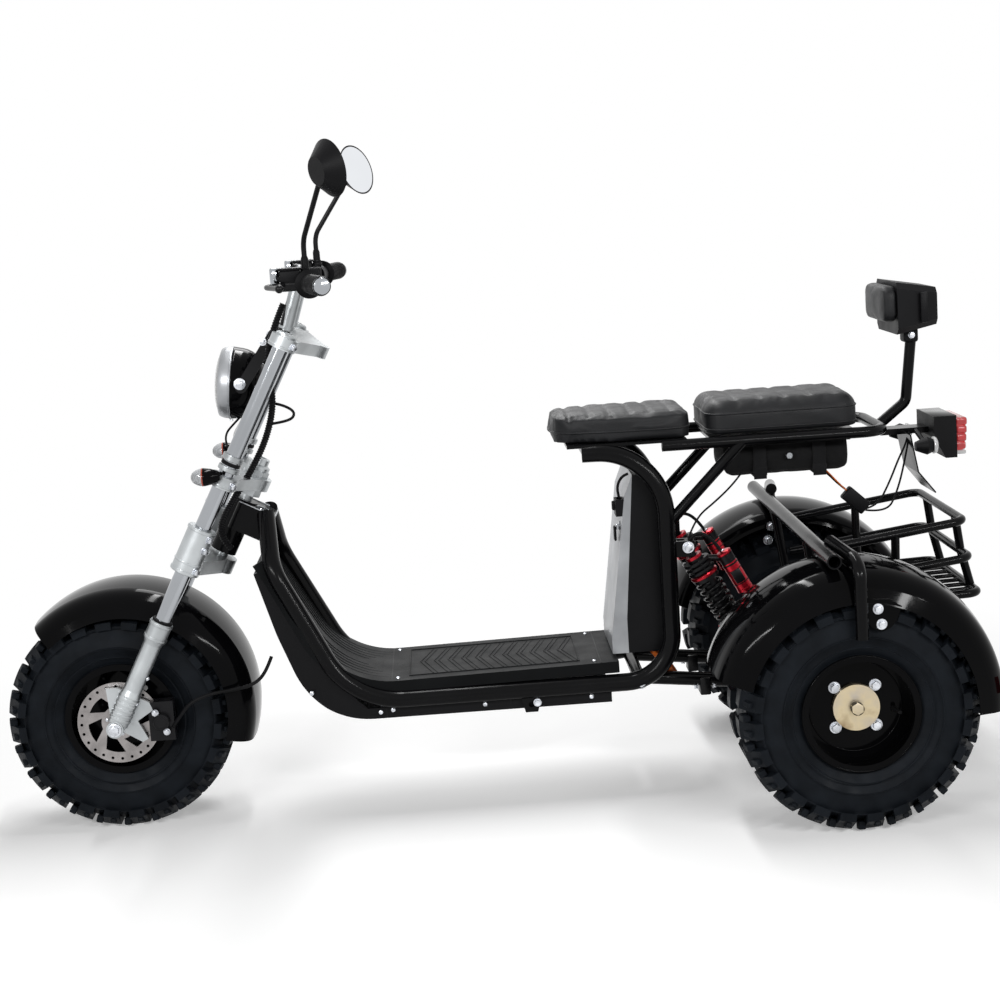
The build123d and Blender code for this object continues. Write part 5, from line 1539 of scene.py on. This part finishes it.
            metal.bolt(facing(top + Vector((0.018, 0, 0.004)), FORWARDS + UP * 0.2), 0.009, 0.006, 1.4)
            metal.bolt(facing(top + Vector((-0.018, 0, 0.004)), -FORWARDS + UP * 0.2), 0.009, 0.006, 1.4)
        button = facing(self.bar_place(205) + Vector((-0.019, 0, -0.006)), -FORWARDS)
        red.lathe(((0, 0), (0.006, 0), (0.006, 0.003), (0.0045, 0.0045), (0, 0.005)), button, 24)
        dial = facing(at_axle(1000, 0, 1094), UP * 0.8 - FORWARDS * 0.6, LEFT)
        black.block((0.062, 0.046, 0.016), dial, 0.006, 3)
        metal.block((0.048, 0.030, 0.002), shifted(dial, 0, 0, 0.0085), 0.0008, 2)
        for piece in (black, metal, ribs, red, sleeves):
            piece.done(38.0)

    def bar_place(self, side_place: float) -> Vector:
        """Return the handlebar's middle line at a distance from the middle, in millimetres."""
        share = (abs(side_place) - self.bar_bend) / (self.bar_end - self.bar_bend)
        return at_axle(self.bar_ahead - self.bar_sweep * share, side_place, self.bar_up)

    def signals(self) -> None:
        """Make each front indicator's dark cup, coloured ring and clear pointed lens."""
        cup = Piece("signal_cups", Body.STEERING, "gloss_black")
        lens = Piece("signal_lenses", Body.STEERING, "clear_lens")
        ring = Piece("signal_rings", Body.STEERING, "amber_lens")
        low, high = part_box("front_indicators")
        middle, tall = (low[0] + high[0]) / 2, (low[2] + high[2]) / 2
        up_leg = (tall - AXLE_Z) / math.cos(RAKE) / MM
        for _, side in SIDES:
            place = facing(Vector((middle, side * (high[1] - 0.0182), tall)), FORWARDS)
            cup.lathe(((0, -0.0285), (0.0070, -0.0285), (0.0115, -0.0220), (0.0155, -0.0100),
                       (0.0174, 0), (0.0178, 0.0030), (0.0172, 0.0045), (0, 0.0045)), place, 36)
            root = at_fork(0, side * self.leg_half, up_leg)
            cup.tube([place.translation, root], 0.005, 16)
            ring.lathe(((0.012, 0.0045), (0.0179, 0.0045), (0.0179, 0.0070), (0.012, 0.0070)), place, 36)
            lens.lathe(((0, 0.0070), (0.0172, 0.0070), (0.0168, 0.0115), (0.0140, 0.0190),
                        (0.0095, 0.0250), (0.0050, 0.0278), (0, 0.0286)), place, 36)
        cup.done(35.0, ("front_indicators",), "chrome")
        ring.done()
        lens.done(35.0)

    def build(self) -> None:
        """Make every fitting of the front end."""
        self.fork()
        self.neck()
        self.headlamp()
        self.controls()
        self.signals()


@dataclass
class Deck:
    """The ribbed mat, the screws and seams of deck and tray, and the case's small parts.

    Attributes:
        mat_rear: The mat's rear edge, in millimetres ahead of the rear axle, like every place here.
        mat_front: Its front edge.
        mat_half: Half its width.
        chevrons: The number of double chevrons.
        rib_r: Half a rib's thickness.
        cover_low: Where the cover's front starts to rise, ahead of the axle and above the ground.
        cover_high: Where it ends.
        bend_r: The radius of the bend between them.
        flat_front: The end of the flat deck.
        rib_lift: How far the ribs' middle stands above the surface.
    """

    mat_rear: float = 500.0
    mat_front: float = 842.0
    mat_half: float = 108.0
    chevrons: int = 11
    rib_r: float = 1.7
    cover_low: Point = (976.0, 277.0)
    cover_high: Point = (1118.0, 535.0)
    bend_r: float = 180.0
    flat_front: float = 885.0
    rib_lift: float = 0.2

    @staticmethod
    def top(ahead: float) -> float:
        """Return the deck's height where it is flat, in millimetres: it falls 9 from 422 to 976."""
        return 286.0 - 9.0 * (ahead - 422.0) / (976.0 - 422.0)

    @staticmethod
    def narrowing(ahead: float) -> float:
        """Return the share of its width that the front keeps: it narrows from 1040 to 1118."""
        return 1.0 if ahead < 1040 else 1.0 - 0.22 * (ahead - 1040) / (1118.0 - 1040)

    def rise(self, steps: int = 26) -> list[tuple[float, float]]:
        """Return places up the curved front of the cover, from the deck to its top.

        Args:
            steps: The number of steps round the bend.

        Returns:
            Pairs of millimetres ahead of the axle and above the ground.
        """
        run = Vector((self.cover_high[0] - self.cover_low[0], self.cover_high[1] - self.cover_low[1]))
        turn = math.atan2(run.y, run.x)
        reach = self.bend_r * math.tan(turn / 2)
        start = Vector((self.cover_low[0] - reach, self.cover_low[1]))
        centre = start + Vector((0.0, self.bend_r))
        places = [(self.flat_front, self.top(self.flat_front))] if start.x > self.flat_front else []
        for k in range(steps + 1):
            angle = turn * k / steps
            places.append(
                (centre.x + self.bend_r * math.sin(angle), centre.y - self.bend_r * math.cos(angle))
            )
        tip = Vector(places[-1])
        along = run.normalized()
        for k in range(1, 9):
            spot = tip + along * (self.cover_high[1] - 45.0 - tip.y) / along.y * k / 8
            places.append((spot.x, spot.y))
        return places

    def mat(self) -> None:
        """Raise the framed chevron mat and the long ribs up the front."""
        mat = Piece("deck_ribs", Body.CHASSIS, "deck_plastic")
        lift, rib = self.rib_lift, self.rib_r * MM
        frame_line = [(self.mat_rear, self.mat_half), (self.mat_front, self.mat_half),
                      (self.mat_front, -self.mat_half), (self.mat_rear, -self.mat_half)]
        corners = [at_axle(x, y, self.top(x) + lift) for x, y in frame_line]
        for first, second in zip(corners, corners[1:] + corners[:1]):
            mat.tube(straight(first, second, 10), rib, 8)
        step = (self.mat_front - self.mat_rear - 30.0) / self.chevrons
        for k in range(self.chevrons):
            nose = self.mat_rear + 28.0 + step * k
            height = self.top(nose) + lift
            for side in (1, -1):
                for shift in (0.0, 9.0):
                    middle = at_axle(nose + shift, 0, height)
                    tail = at_axle(nose + shift - 26.0, side * (self.mat_half - 8.0), height)
                    mat.tube(straight(middle, tail, 8), rib * 0.85, 6)
        for half, start in ((104, 0), (84, 2), (64, 4), (44, 6), (24, 8)):
            places = self.rise()[start:]
            for side in (1, -1):
                path = [at_axle(x, side * half * self.narrowing(x), z + lift) for x, z in places]
                mat.tube(path, rib, 8)
            x, z = places[0]
            foot = straight(at_axle(x, half, z + lift), at_axle(x, -half, z + lift), 8)
            mat.tube(foot, rib, 8)
        mat.done(50.0)
        seams = Piece("deck_seams", Body.CHASSIS, "black_plastic")
        for ahead in (878.0, 457.0):
            height = self.top(ahead) - 0.9
            path = straight(at_axle(ahead, 137.0, height), at_axle(ahead, -137.0, height), 6)
            seams.tube(path, 0.0016, 8)
        seams.done(50.0)

    def fasteners(self) -> None:
        """Add the screws of the deck and the tray, the stand bracket's bolt and the tray's seams."""
        screws = Piece("deck_screws", Body.CHASSIS, "zinc_steel")
        for ahead, side in ((866, 118), (866, -118), (470, 118), (470, -118)):
            screws.dome_screw(facing(at_axle(ahead, side, self.top(ahead) - 0.2), UP), 0.008)
        for ahead, up in ((905, 213), (880, 216), (695, 214), (480, 214), (1040, 262)):
            for side in (1, -1):
                seat = at_axle(ahead, side * 125.6, up)
                screws.dome_screw(facing(seat, LEFT * side), 0.010)
        screws.bolt(facing(at_axle(590, 137.8, 213), LEFT), 0.011, 0.006, 1.5)
        screws.done()
        joints = Piece("tray_seams", Body.CHASSIS, "black_metal")
        for ahead in (893.0, 640.0):
            for side in (1, -1):
                path = straight(at_axle(ahead, side * 125.4, 202), at_axle(ahead, side * 125.4, 219), 4)
                joints.tube(path, 0.0012, 6)
        joints.done()

    def case(self) -> None:
        """Add the key, the breaker with its lead, and the case's screws."""
        black = Piece("case_fittings", Body.CHASSIS, "black_plastic")
        chrome = Piece("case_metal", Body.CHASSIS, "chrome")
        black.block((0.016, 0.034, 0.034), facing(at_axle(399, 78, 589), UP, FORWARDS), 0.003, 3)
        black.block((0.010, 0.012, 0.018), facing(at_axle(409, 78, 592), UP, FORWARDS), 0.002, 2)
        lock = facing(at_axle(396, 60, 546), FORWARDS)
        chrome.lathe(((0, 0), (0.011, 0), (0.011, 0.003), (0.009, 0.005), (0, 0.005)), lock, 30)
        black.block((0.005, 0.020, 0.030), facing(at_axle(409, 60, 532), UP, FORWARDS), 0.003, 3)
        chrome.block((0.008, 0.003, 0.012), facing(at_axle(402, 60, 545), UP, FORWARDS), 0.001, 2)
        Cords.lead("breaker_lead", Body.CHASSIS, "black_rubber", 2.8,
                   ((398, 80, 606), (402, 80, 622), (398, 80, 640), (388, 80, 652), (378, 82, 655)))
        for side in (1, -1):
            for x, z in ((400, 350), (384, 520), (378, 628)):
                chrome.dome_screw(facing(at_axle(x + 3, side * 90, z), FORWARDS + UP * 0.05), 0.006)
        black.done(40.0)
        chrome.done(40.0)

    def build(self) -> None:
        """Make every fitting of the deck and the case."""
        self.mat()
        self.fasteners()
        self.case()


@dataclass
class Rear:
    """Shock springs and reservoirs, mudguard tabs, lamps, backrest, bag, wires and pivot bolts.

    Attributes:
        top: The shock absorber's upper eye, in millimetres ahead of the axle and above the ground.
        foot: Its lower eye.
        side: How far it stands from the middle.
        coil_r: The spring's radius to the middle of its wire.
        wire_r: Half the wire's thickness.
        turns: The number of turns.
        coil_from: Where the spring starts below the upper eye, in metres.
        coil_short: Where it ends above the lower eye, in metres.
        wire_runs: Each wire's name, finish, radius and route.
    """

    top: Point = (271.0, 507.0)
    foot: Point = (141.0, 262.0)
    side: float = 118.0
    coil_r: float = 22.5
    wire_r: float = 4.2
    turns: float = 10.0
    coil_from: float = 0.079
    coil_short: float = 0.043
    wire_runs: tuple = (
        ("bag_lead_black", "black_rubber", 2.2,
         ((-20, 40, 630), (-34, 40, 618), (-50, 40, 600), (-66, 40, 586))),
        ("bag_lead_orange", "orange_cable", 1.5,
         ((-26, 44, 630), (-42, 44, 612), (-56, 43, 596), (-68, 42, 584))),
        ("tail_lead_upper", "black_rubber", 2.0,
         ((-106, 36, 542), (-132, 34, 545), (-158, 32, 590), (-180, 30, 640), (-196, 28, 668),
          (-204, 24, 692))),
        ("tail_lead_lower", "black_rubber", 2.0,
         ((-106, 42, 540), (-150, 40, 532), (-172, 38, 570), (-190, 36, 630), (-204, 30, 690))),
        ("shock_lead", "black_rubber", 2.0,
         ((150, 78, 640), (168, 92, 622), (206, 104, 592), (252, 112, 560), (268, 116, 520))),
        ("damper_hose_left", "black_rubber", 3.4,
         ((268, 118, 516), (256, 118, 532), (232, 118, 528), (206, 118, 498), (200, 118, 484))),
        ("damper_hose_right", "black_rubber", 3.4,
         ((268, -118, 516), (256, -118, 532), (232, -118, 528), (206, -118, 498),
          (200, -118, 484))),
    )

    def springs(self) -> None:
        """Wind the two black springs round their dampers, with red collars."""
        coil = Piece("coil_springs", Body.CHASSIS, "frame_paint")
        body = Piece("damper_bodies", Body.CHASSIS, "black_metal")
        red = Piece("spring_collars", Body.CHASSIS, "red_anodised")
        black = Piece("collar_rings", Body.CHASSIS, "black_metal")
        bolts = Piece("shock_bolts", Body.CHASSIS, "zinc_steel")
        steps = round(self.turns * 20)
        reach, wire = self.coil_r * MM, self.wire_r * MM
        for _, side in SIDES:
            top = at_axle(self.top[0], side * self.side, self.top[1])
            foot = at_axle(self.foot[0], side * self.side, self.foot[1])
            length = (foot - top).length
            run = length - self.coil_from - self.coil_short
            place = facing(top, foot - top, LEFT)
            path = []
            for k in range(steps + 1):
                turn = 2 * math.pi * self.turns * k / steps
                down = self.coil_from + wire + (run - 2 * wire) * k / steps
                path.append(place @ Vector((reach * math.cos(turn), reach * math.sin(turn), down)))
            coil.tube(path, wire, 10)
            tube = ((0, 0), (0.0155, 0), (0.0155, run * 0.62), (0, run * 0.62))
            body.lathe(tube, shifted(place, 0, 0, self.coil_from), 28)
            for down in (0.034, 0.044, 0.054):
                black.lathe(((0.012, 0), (0.0265, 0), (0.028, 0.002), (0.028, 0.005),
                             (0.0265, 0.007), (0.012, 0.007)), shifted(place, 0, 0, down), 36)
            red.lathe(((0.012, 0), (0.0272, 0), (0.0288, 0.0015), (0.0288, 0.0055), (0.0272, 0.007),
                       (0.012, 0.007)), shifted(place, 0, 0, 0.0635), 36)
            red.lathe(((0.010, 0), (0.0172, 0), (0.0172, 0.006), (0.010, 0.006)),
                      shifted(place, 0, 0, 0.0225), 32)
            red.lathe(((0.012, 0), (0.0272, 0), (0.0285, 0.0015), (0.0285, 0.006), (0.012, 0.006)),
                      shifted(place, 0, 0, length - 0.038), 36)
            for end in (top, foot):
                bolts.bolt(facing(end + LEFT * side * 0.0175, LEFT * side), 0.014, 0.008, 1.7)
        coil.done(60.0, ("shock_springs",))
        for piece in (body, red, black, bolts):
            piece.done()

    def reservoirs(self) -> None:
        """Add black bands, caps and bleed screws to the red reservoirs."""
        black = Piece("reservoir_bands", Body.CHASSIS, "black_metal")
        red = Piece("reservoir_ends", Body.CHASSIS, "red_anodised")
        metal = Piece("reservoir_screws", Body.CHASSIS, "zinc_steel")
        along = Vector((self.foot[0] - self.top[0], 0, self.foot[1] - self.top[1])).normalized()
        for _, side in SIDES:
            cap = at_axle(self.top[0] - 78.0, side * self.side, self.top[1] - 30.0)
            place = facing(cap, along, LEFT)
            for low, high, r in ((0.0115, 0.0150, 0.0166), (0.026, 0.0275, 0.0164), (0.0555, 0.0575, 0.0164)):
                black.lathe(((0.012, low), (r, low), (r, high), (0.012, high)), place, 36)
            red.lathe(((0, 0), (0.0145, 0), (0.0160, -0.0015), (0.0160, -0.0055), (0.0125, -0.0075),
                       (0, -0.0075)), shifted(place, 0, 0, -0.0088), 36)
            metal.bolt(facing(cap - along * 0.0163, -along), 0.007, 0.003, 0.0)
            red.lathe(((0, 0), (0.0152, 0), (0.0165, 0.0012), (0.0165, 0.006), (0.013, 0.0085),
                       (0, 0.0085)), shifted(place, 0, 0, 0.0685), 36)
            clamp = cap + along * 0.040 + LEFT * side * 0.0128
            black.block((0.012, 0.020, 0.028), facing(clamp, along, LEFT), 0.002, 2)
        for piece in (black, red, metal):
            piece.done()

    def guards(self) -> None:
        """Hang the bolted tabs on the rear mudguards."""
        tabs = Piece("guard_tabs", Body.CHASSIS, "gloss_black")
        bolts = Piece("guard_bolts", Body.CHASSIS, "zinc_steel")
        outline = [(0.004, 0.440), (-0.006, 0.414), (-0.020, 0.396), (-0.030, 0.391), (-0.046, 0.391),
                   (-0.056, 0.396), (-0.066, 0.408), (-0.076, 0.434), (-0.050, 0.450), (-0.010, 0.452)]
        for _, side in SIDES:
            skin = Vector((REAR_AXLE_X, side * 0.4605 + 0.0015, 0))
            place = Matrix.Translation(skin) @ Matrix.Rotation(math.pi / 2, 4, "X")
            tabs.prism(outline, 0.003, place, 0.0008)
            for x, z in ((-31, 432), (-37, 403)):
                bolts.bolt(facing(at_axle(x, side * 462.6, z), LEFT * side), 0.012, 0.007, 1.7)
            for x, z in ((44, 470), (52, 440)):
                bolts.bolt(facing(at_axle(x, side * 226.5, z), -LEFT * side), 0.012, 0.007, 1.7)
        tabs.done()
        bolts.done()

    def lamps(self) -> None:
        """Make the ribbed tail lens with its foot and hood, the signal lenses and the reflectors."""
        red = Piece("tail_ribs", Body.CHASSIS, "red_lens")
        for k in range(4):
            size = (0.0245 - 0.0010 * k, 0.130 - 0.003 * abs(k - 1.5), 0.0172)
            centre = at_axle(-302.0 + 0.6 * k, 0, 711.0 - 16.2 * k)
            red.block(size, Matrix.Translation(centre), 0.0052, 3)
        red.block((0.014, 0.124, 0.066), square_at(-297.5, 0, 686), 0.002, 2)
        red.done(40.0, ("tail_lens",))
        white = Piece("tail_white", Body.CHASSIS, "white_lens")
        white.block((0.020, 0.120, 0.008), square_at(-301, 0, 648.5), 0.0025, 3)
        white.done()
        hood = Piece("tail_hood", Body.CHASSIS, "gloss_black")
        hood.block((0.046, 0.136, 0.004), square_at(-268, 0, 723.5), 0.0015, 2)
        hood.done()
        lens = Piece("rear_signal_lenses", Body.CHASSIS, "white_lens")
        low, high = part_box("rear_indicators")
        for _, side in SIDES:
            centre = Vector((low[0] + 0.0105, side * (high[1] - 0.018), (low[2] + high[2]) / 2 - 0.003))
            lens.lathe(((0, 0), (0.0172, 0), (0.0172, 0.003), (0.0150, 0.007), (0.008, 0.0098),
                        (0, 0.0102)), facing(centre, -FORWARDS), 36)
        lens.done(40.0)
        glow = Piece("side_reflectors", Body.CHASSIS, "red_lens")
        for _, side in SIDES:
            glow.block((0.005, 0.020, 0.034), square_at(-281.5, side * 438, 262), 0.0015, 2)
        glow.done()

    @staticmethod
    def keep_inside(piece: bpy.types.Object, node: str, axes: Sequence[int]) -> None:
        """Hold a piece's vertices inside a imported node's box, along some of the axes."""
        low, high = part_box(node)
        for vert in piece.data.vertices:
            for axis in axes:
                vert.co[axis] = max(low[axis], min(high[axis], vert.co[axis]))

    def backrest(self) -> None:
        """Make the padded backrest in front of its shell, with its trim and bolts."""
        mesh = plain_block((0.026, 0.176, 0.072))
        upright = [e for e in mesh.edges if abs(e.verts[0].co.x - e.verts[1].co.x) > 1e-4]
        soften_edges(mesh, upright, 0.022, 5)
        soften_edges(mesh, [e for e in mesh.edges if min(v.co.x for v in e.verts) > 0.012], 0.009, 4)
        bmesh.ops.translate(mesh, vec=at_axle(-159.5, 0, 957), verts=mesh.verts[:])
        pad = Seats(swell_cap=0.006).puff("backrest_cushion", mesh)
        self.keep_inside(pad, "backrest_pad", (0,))
        Seats.upholster(pad, "seat_leather", "backrest_pad", 0.8)
        trim = Piece("backrest_trim", Body.CHASSIS, "black_plastic")
        for _, side in SIDES:
            trim.block((0.014, 0.006, 0.060), square_at(-226, side * 91.5, 948), 0.002, 2)
        trim.block((0.030, 0.040, 0.030), square_at(-216, 0, 888), 0.006, 3)
        trim.done()
        bolts = Piece("backrest_bolts", Body.CHASSIS, "zinc_steel")
        for _, side in SIDES:
            bolts.bolt(facing(at_axle(-216, side * 20.5, 888), LEFT * side), 0.010, 0.006, 1.4)
        bolts.done()

    def bag(self) -> None:
        """Make the sagging bag under the rear seat, its straps, studs and seams."""
        mesh = plain_block((0.256, 0.150, 0.066))
        soften_edges(mesh, mesh.edges[:], 0.010, 4)
        bmesh.ops.translate(mesh, vec=at_axle(57.5, 0, 669.5), verts=mesh.verts[:])
        bag = Seats(swell_cap=0.005).puff("bag_body", mesh)
        low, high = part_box("battery_bag")
        for vert in bag.data.vertices:
            share = (vert.co.x - low[0]) / (high[0] - low[0])
            under = max(0.0, 0.675 - vert.co.z) / 0.043
            vert.co.z -= 0.003 * math.sin(math.pi * share) * under
            vert.co.y *= 1 + 0.012 * math.sin(9 * share) * under
        self.keep_inside(bag, "battery_bag", (0, 1, 2))
        Seats.upholster(bag, "bag_fabric", "battery_bag", 0.7)
        straps = Piece("bag_straps", Body.CHASSIS, "webbing")
        for ahead in (112.0, -8.0):
            for _, side in SIDES:
                straps.block((0.026, 0.0022, 0.080), square_at(ahead, side * 79.8, 665), 0.0007, 2)
                straps.block((0.028, 0.0034, 0.016), square_at(ahead, side * 80.0, 640), 0.001, 2)
            straps.block((0.026, 0.160, 0.0022), square_at(ahead, 0, 630.8), 0.0007, 2)
        straps.done()
        stud = Piece("bag_stud", Body.CHASSIS, "chrome")
        seam = Piece("bag_seams", Body.CHASSIS, "webbing")
        for _, side in SIDES:
            stud.lathe(((0, -0.001), (0.0072, -0.001), (0.0072, 0.0016), (0.0058, 0.003),
                        (0.0034, 0.003), (0.0030, 0.0014), (0, 0.0014)),
                       facing(at_axle(52, side * 79.5, 669), LEFT * side), 28)
            path = straight(at_axle(186, side * 79.0, 694), at_axle(-72, side * 79.0, 694), 20)
            seam.tube(path, 0.0014, 6)
        stud.done()
        seam.done(60.0)

    def wires(self) -> None:
        """Run the tail wiring with its connector, the bag's leads and the motor's cables."""
        for name, finish, radius, points in self.wire_runs:
            Cords.lead(name, Body.CHASSIS, finish, radius, points)
        for k, side in enumerate((84, 92, 76)):
            points = ((352 - 4 * k, side, 292), (338 - 6 * k, side, 272), (318 - 6 * k, side, 250),
                      (306 - 5 * k, side - 6, 226), (302 - 5 * k, side - 14, 214))
            Cords.lead(f"motor_cable_{k + 1}", Body.CHASSIS, "orange_cable", 3.4, points)
        plug = Piece("tail_plug", Body.CHASSIS, "black_plastic")
        lean = facing(at_axle(-86, 40, 562), Vector((-0.62, 0, -0.58)), LEFT)
        plug.block((0.022, 0.030, 0.056), lean, 0.004, 3)
        plug.done()

    def swing(self) -> None:
        """Bolt the swingarm's pivots and clamp its arms."""
        bolts = Piece("swing_bolts", Body.CHASSIS, "zinc_steel")
        clamps = Piece("arm_clamps", Body.CHASSIS, "black_metal")
        for _, side in SIDES:
            bolts.bolt(facing(at_axle(380, side * 134.8, 240), LEFT * side), 0.017, 0.009, 1.8)
            clamps.block((0.022, 0.036, 0.036), square_at(247, side * 96, 214), 0.003, 2)
            for ahead in (262, 232):
                bolts.bolt(facing(at_axle(ahead, side * 104, 214), FORWARDS if ahead > 247 else -FORWARDS),
                           0.010, 0.006, 1.4)
        bolts.done()
        clamps.done()

    def build(self) -> None:
        """Make every piece of the rear."""
        self.springs()
        self.reservoirs()
        self.guards()
        self.lamps()
        self.backrest()
        self.bag()
        self.wires()
        self.swing()


def main() -> None:
    """Build every sub-assembly in order."""
    Studio().build()
    Cords().build()
    FINISHES.dress_nodes()
    Seats().build()
    wheels = Wheels()
    wheels.rear("left", 1, Body.REAR_LEFT)
    wheels.rear("right", -1, Body.REAR_RIGHT)
    wheels.front()
    FrontEnd().build()
    Deck().build()
    Rear().build()


if __name__ == "__main__":
    logging.basicConfig(level=logging.INFO, format="%(message)s")
    main()
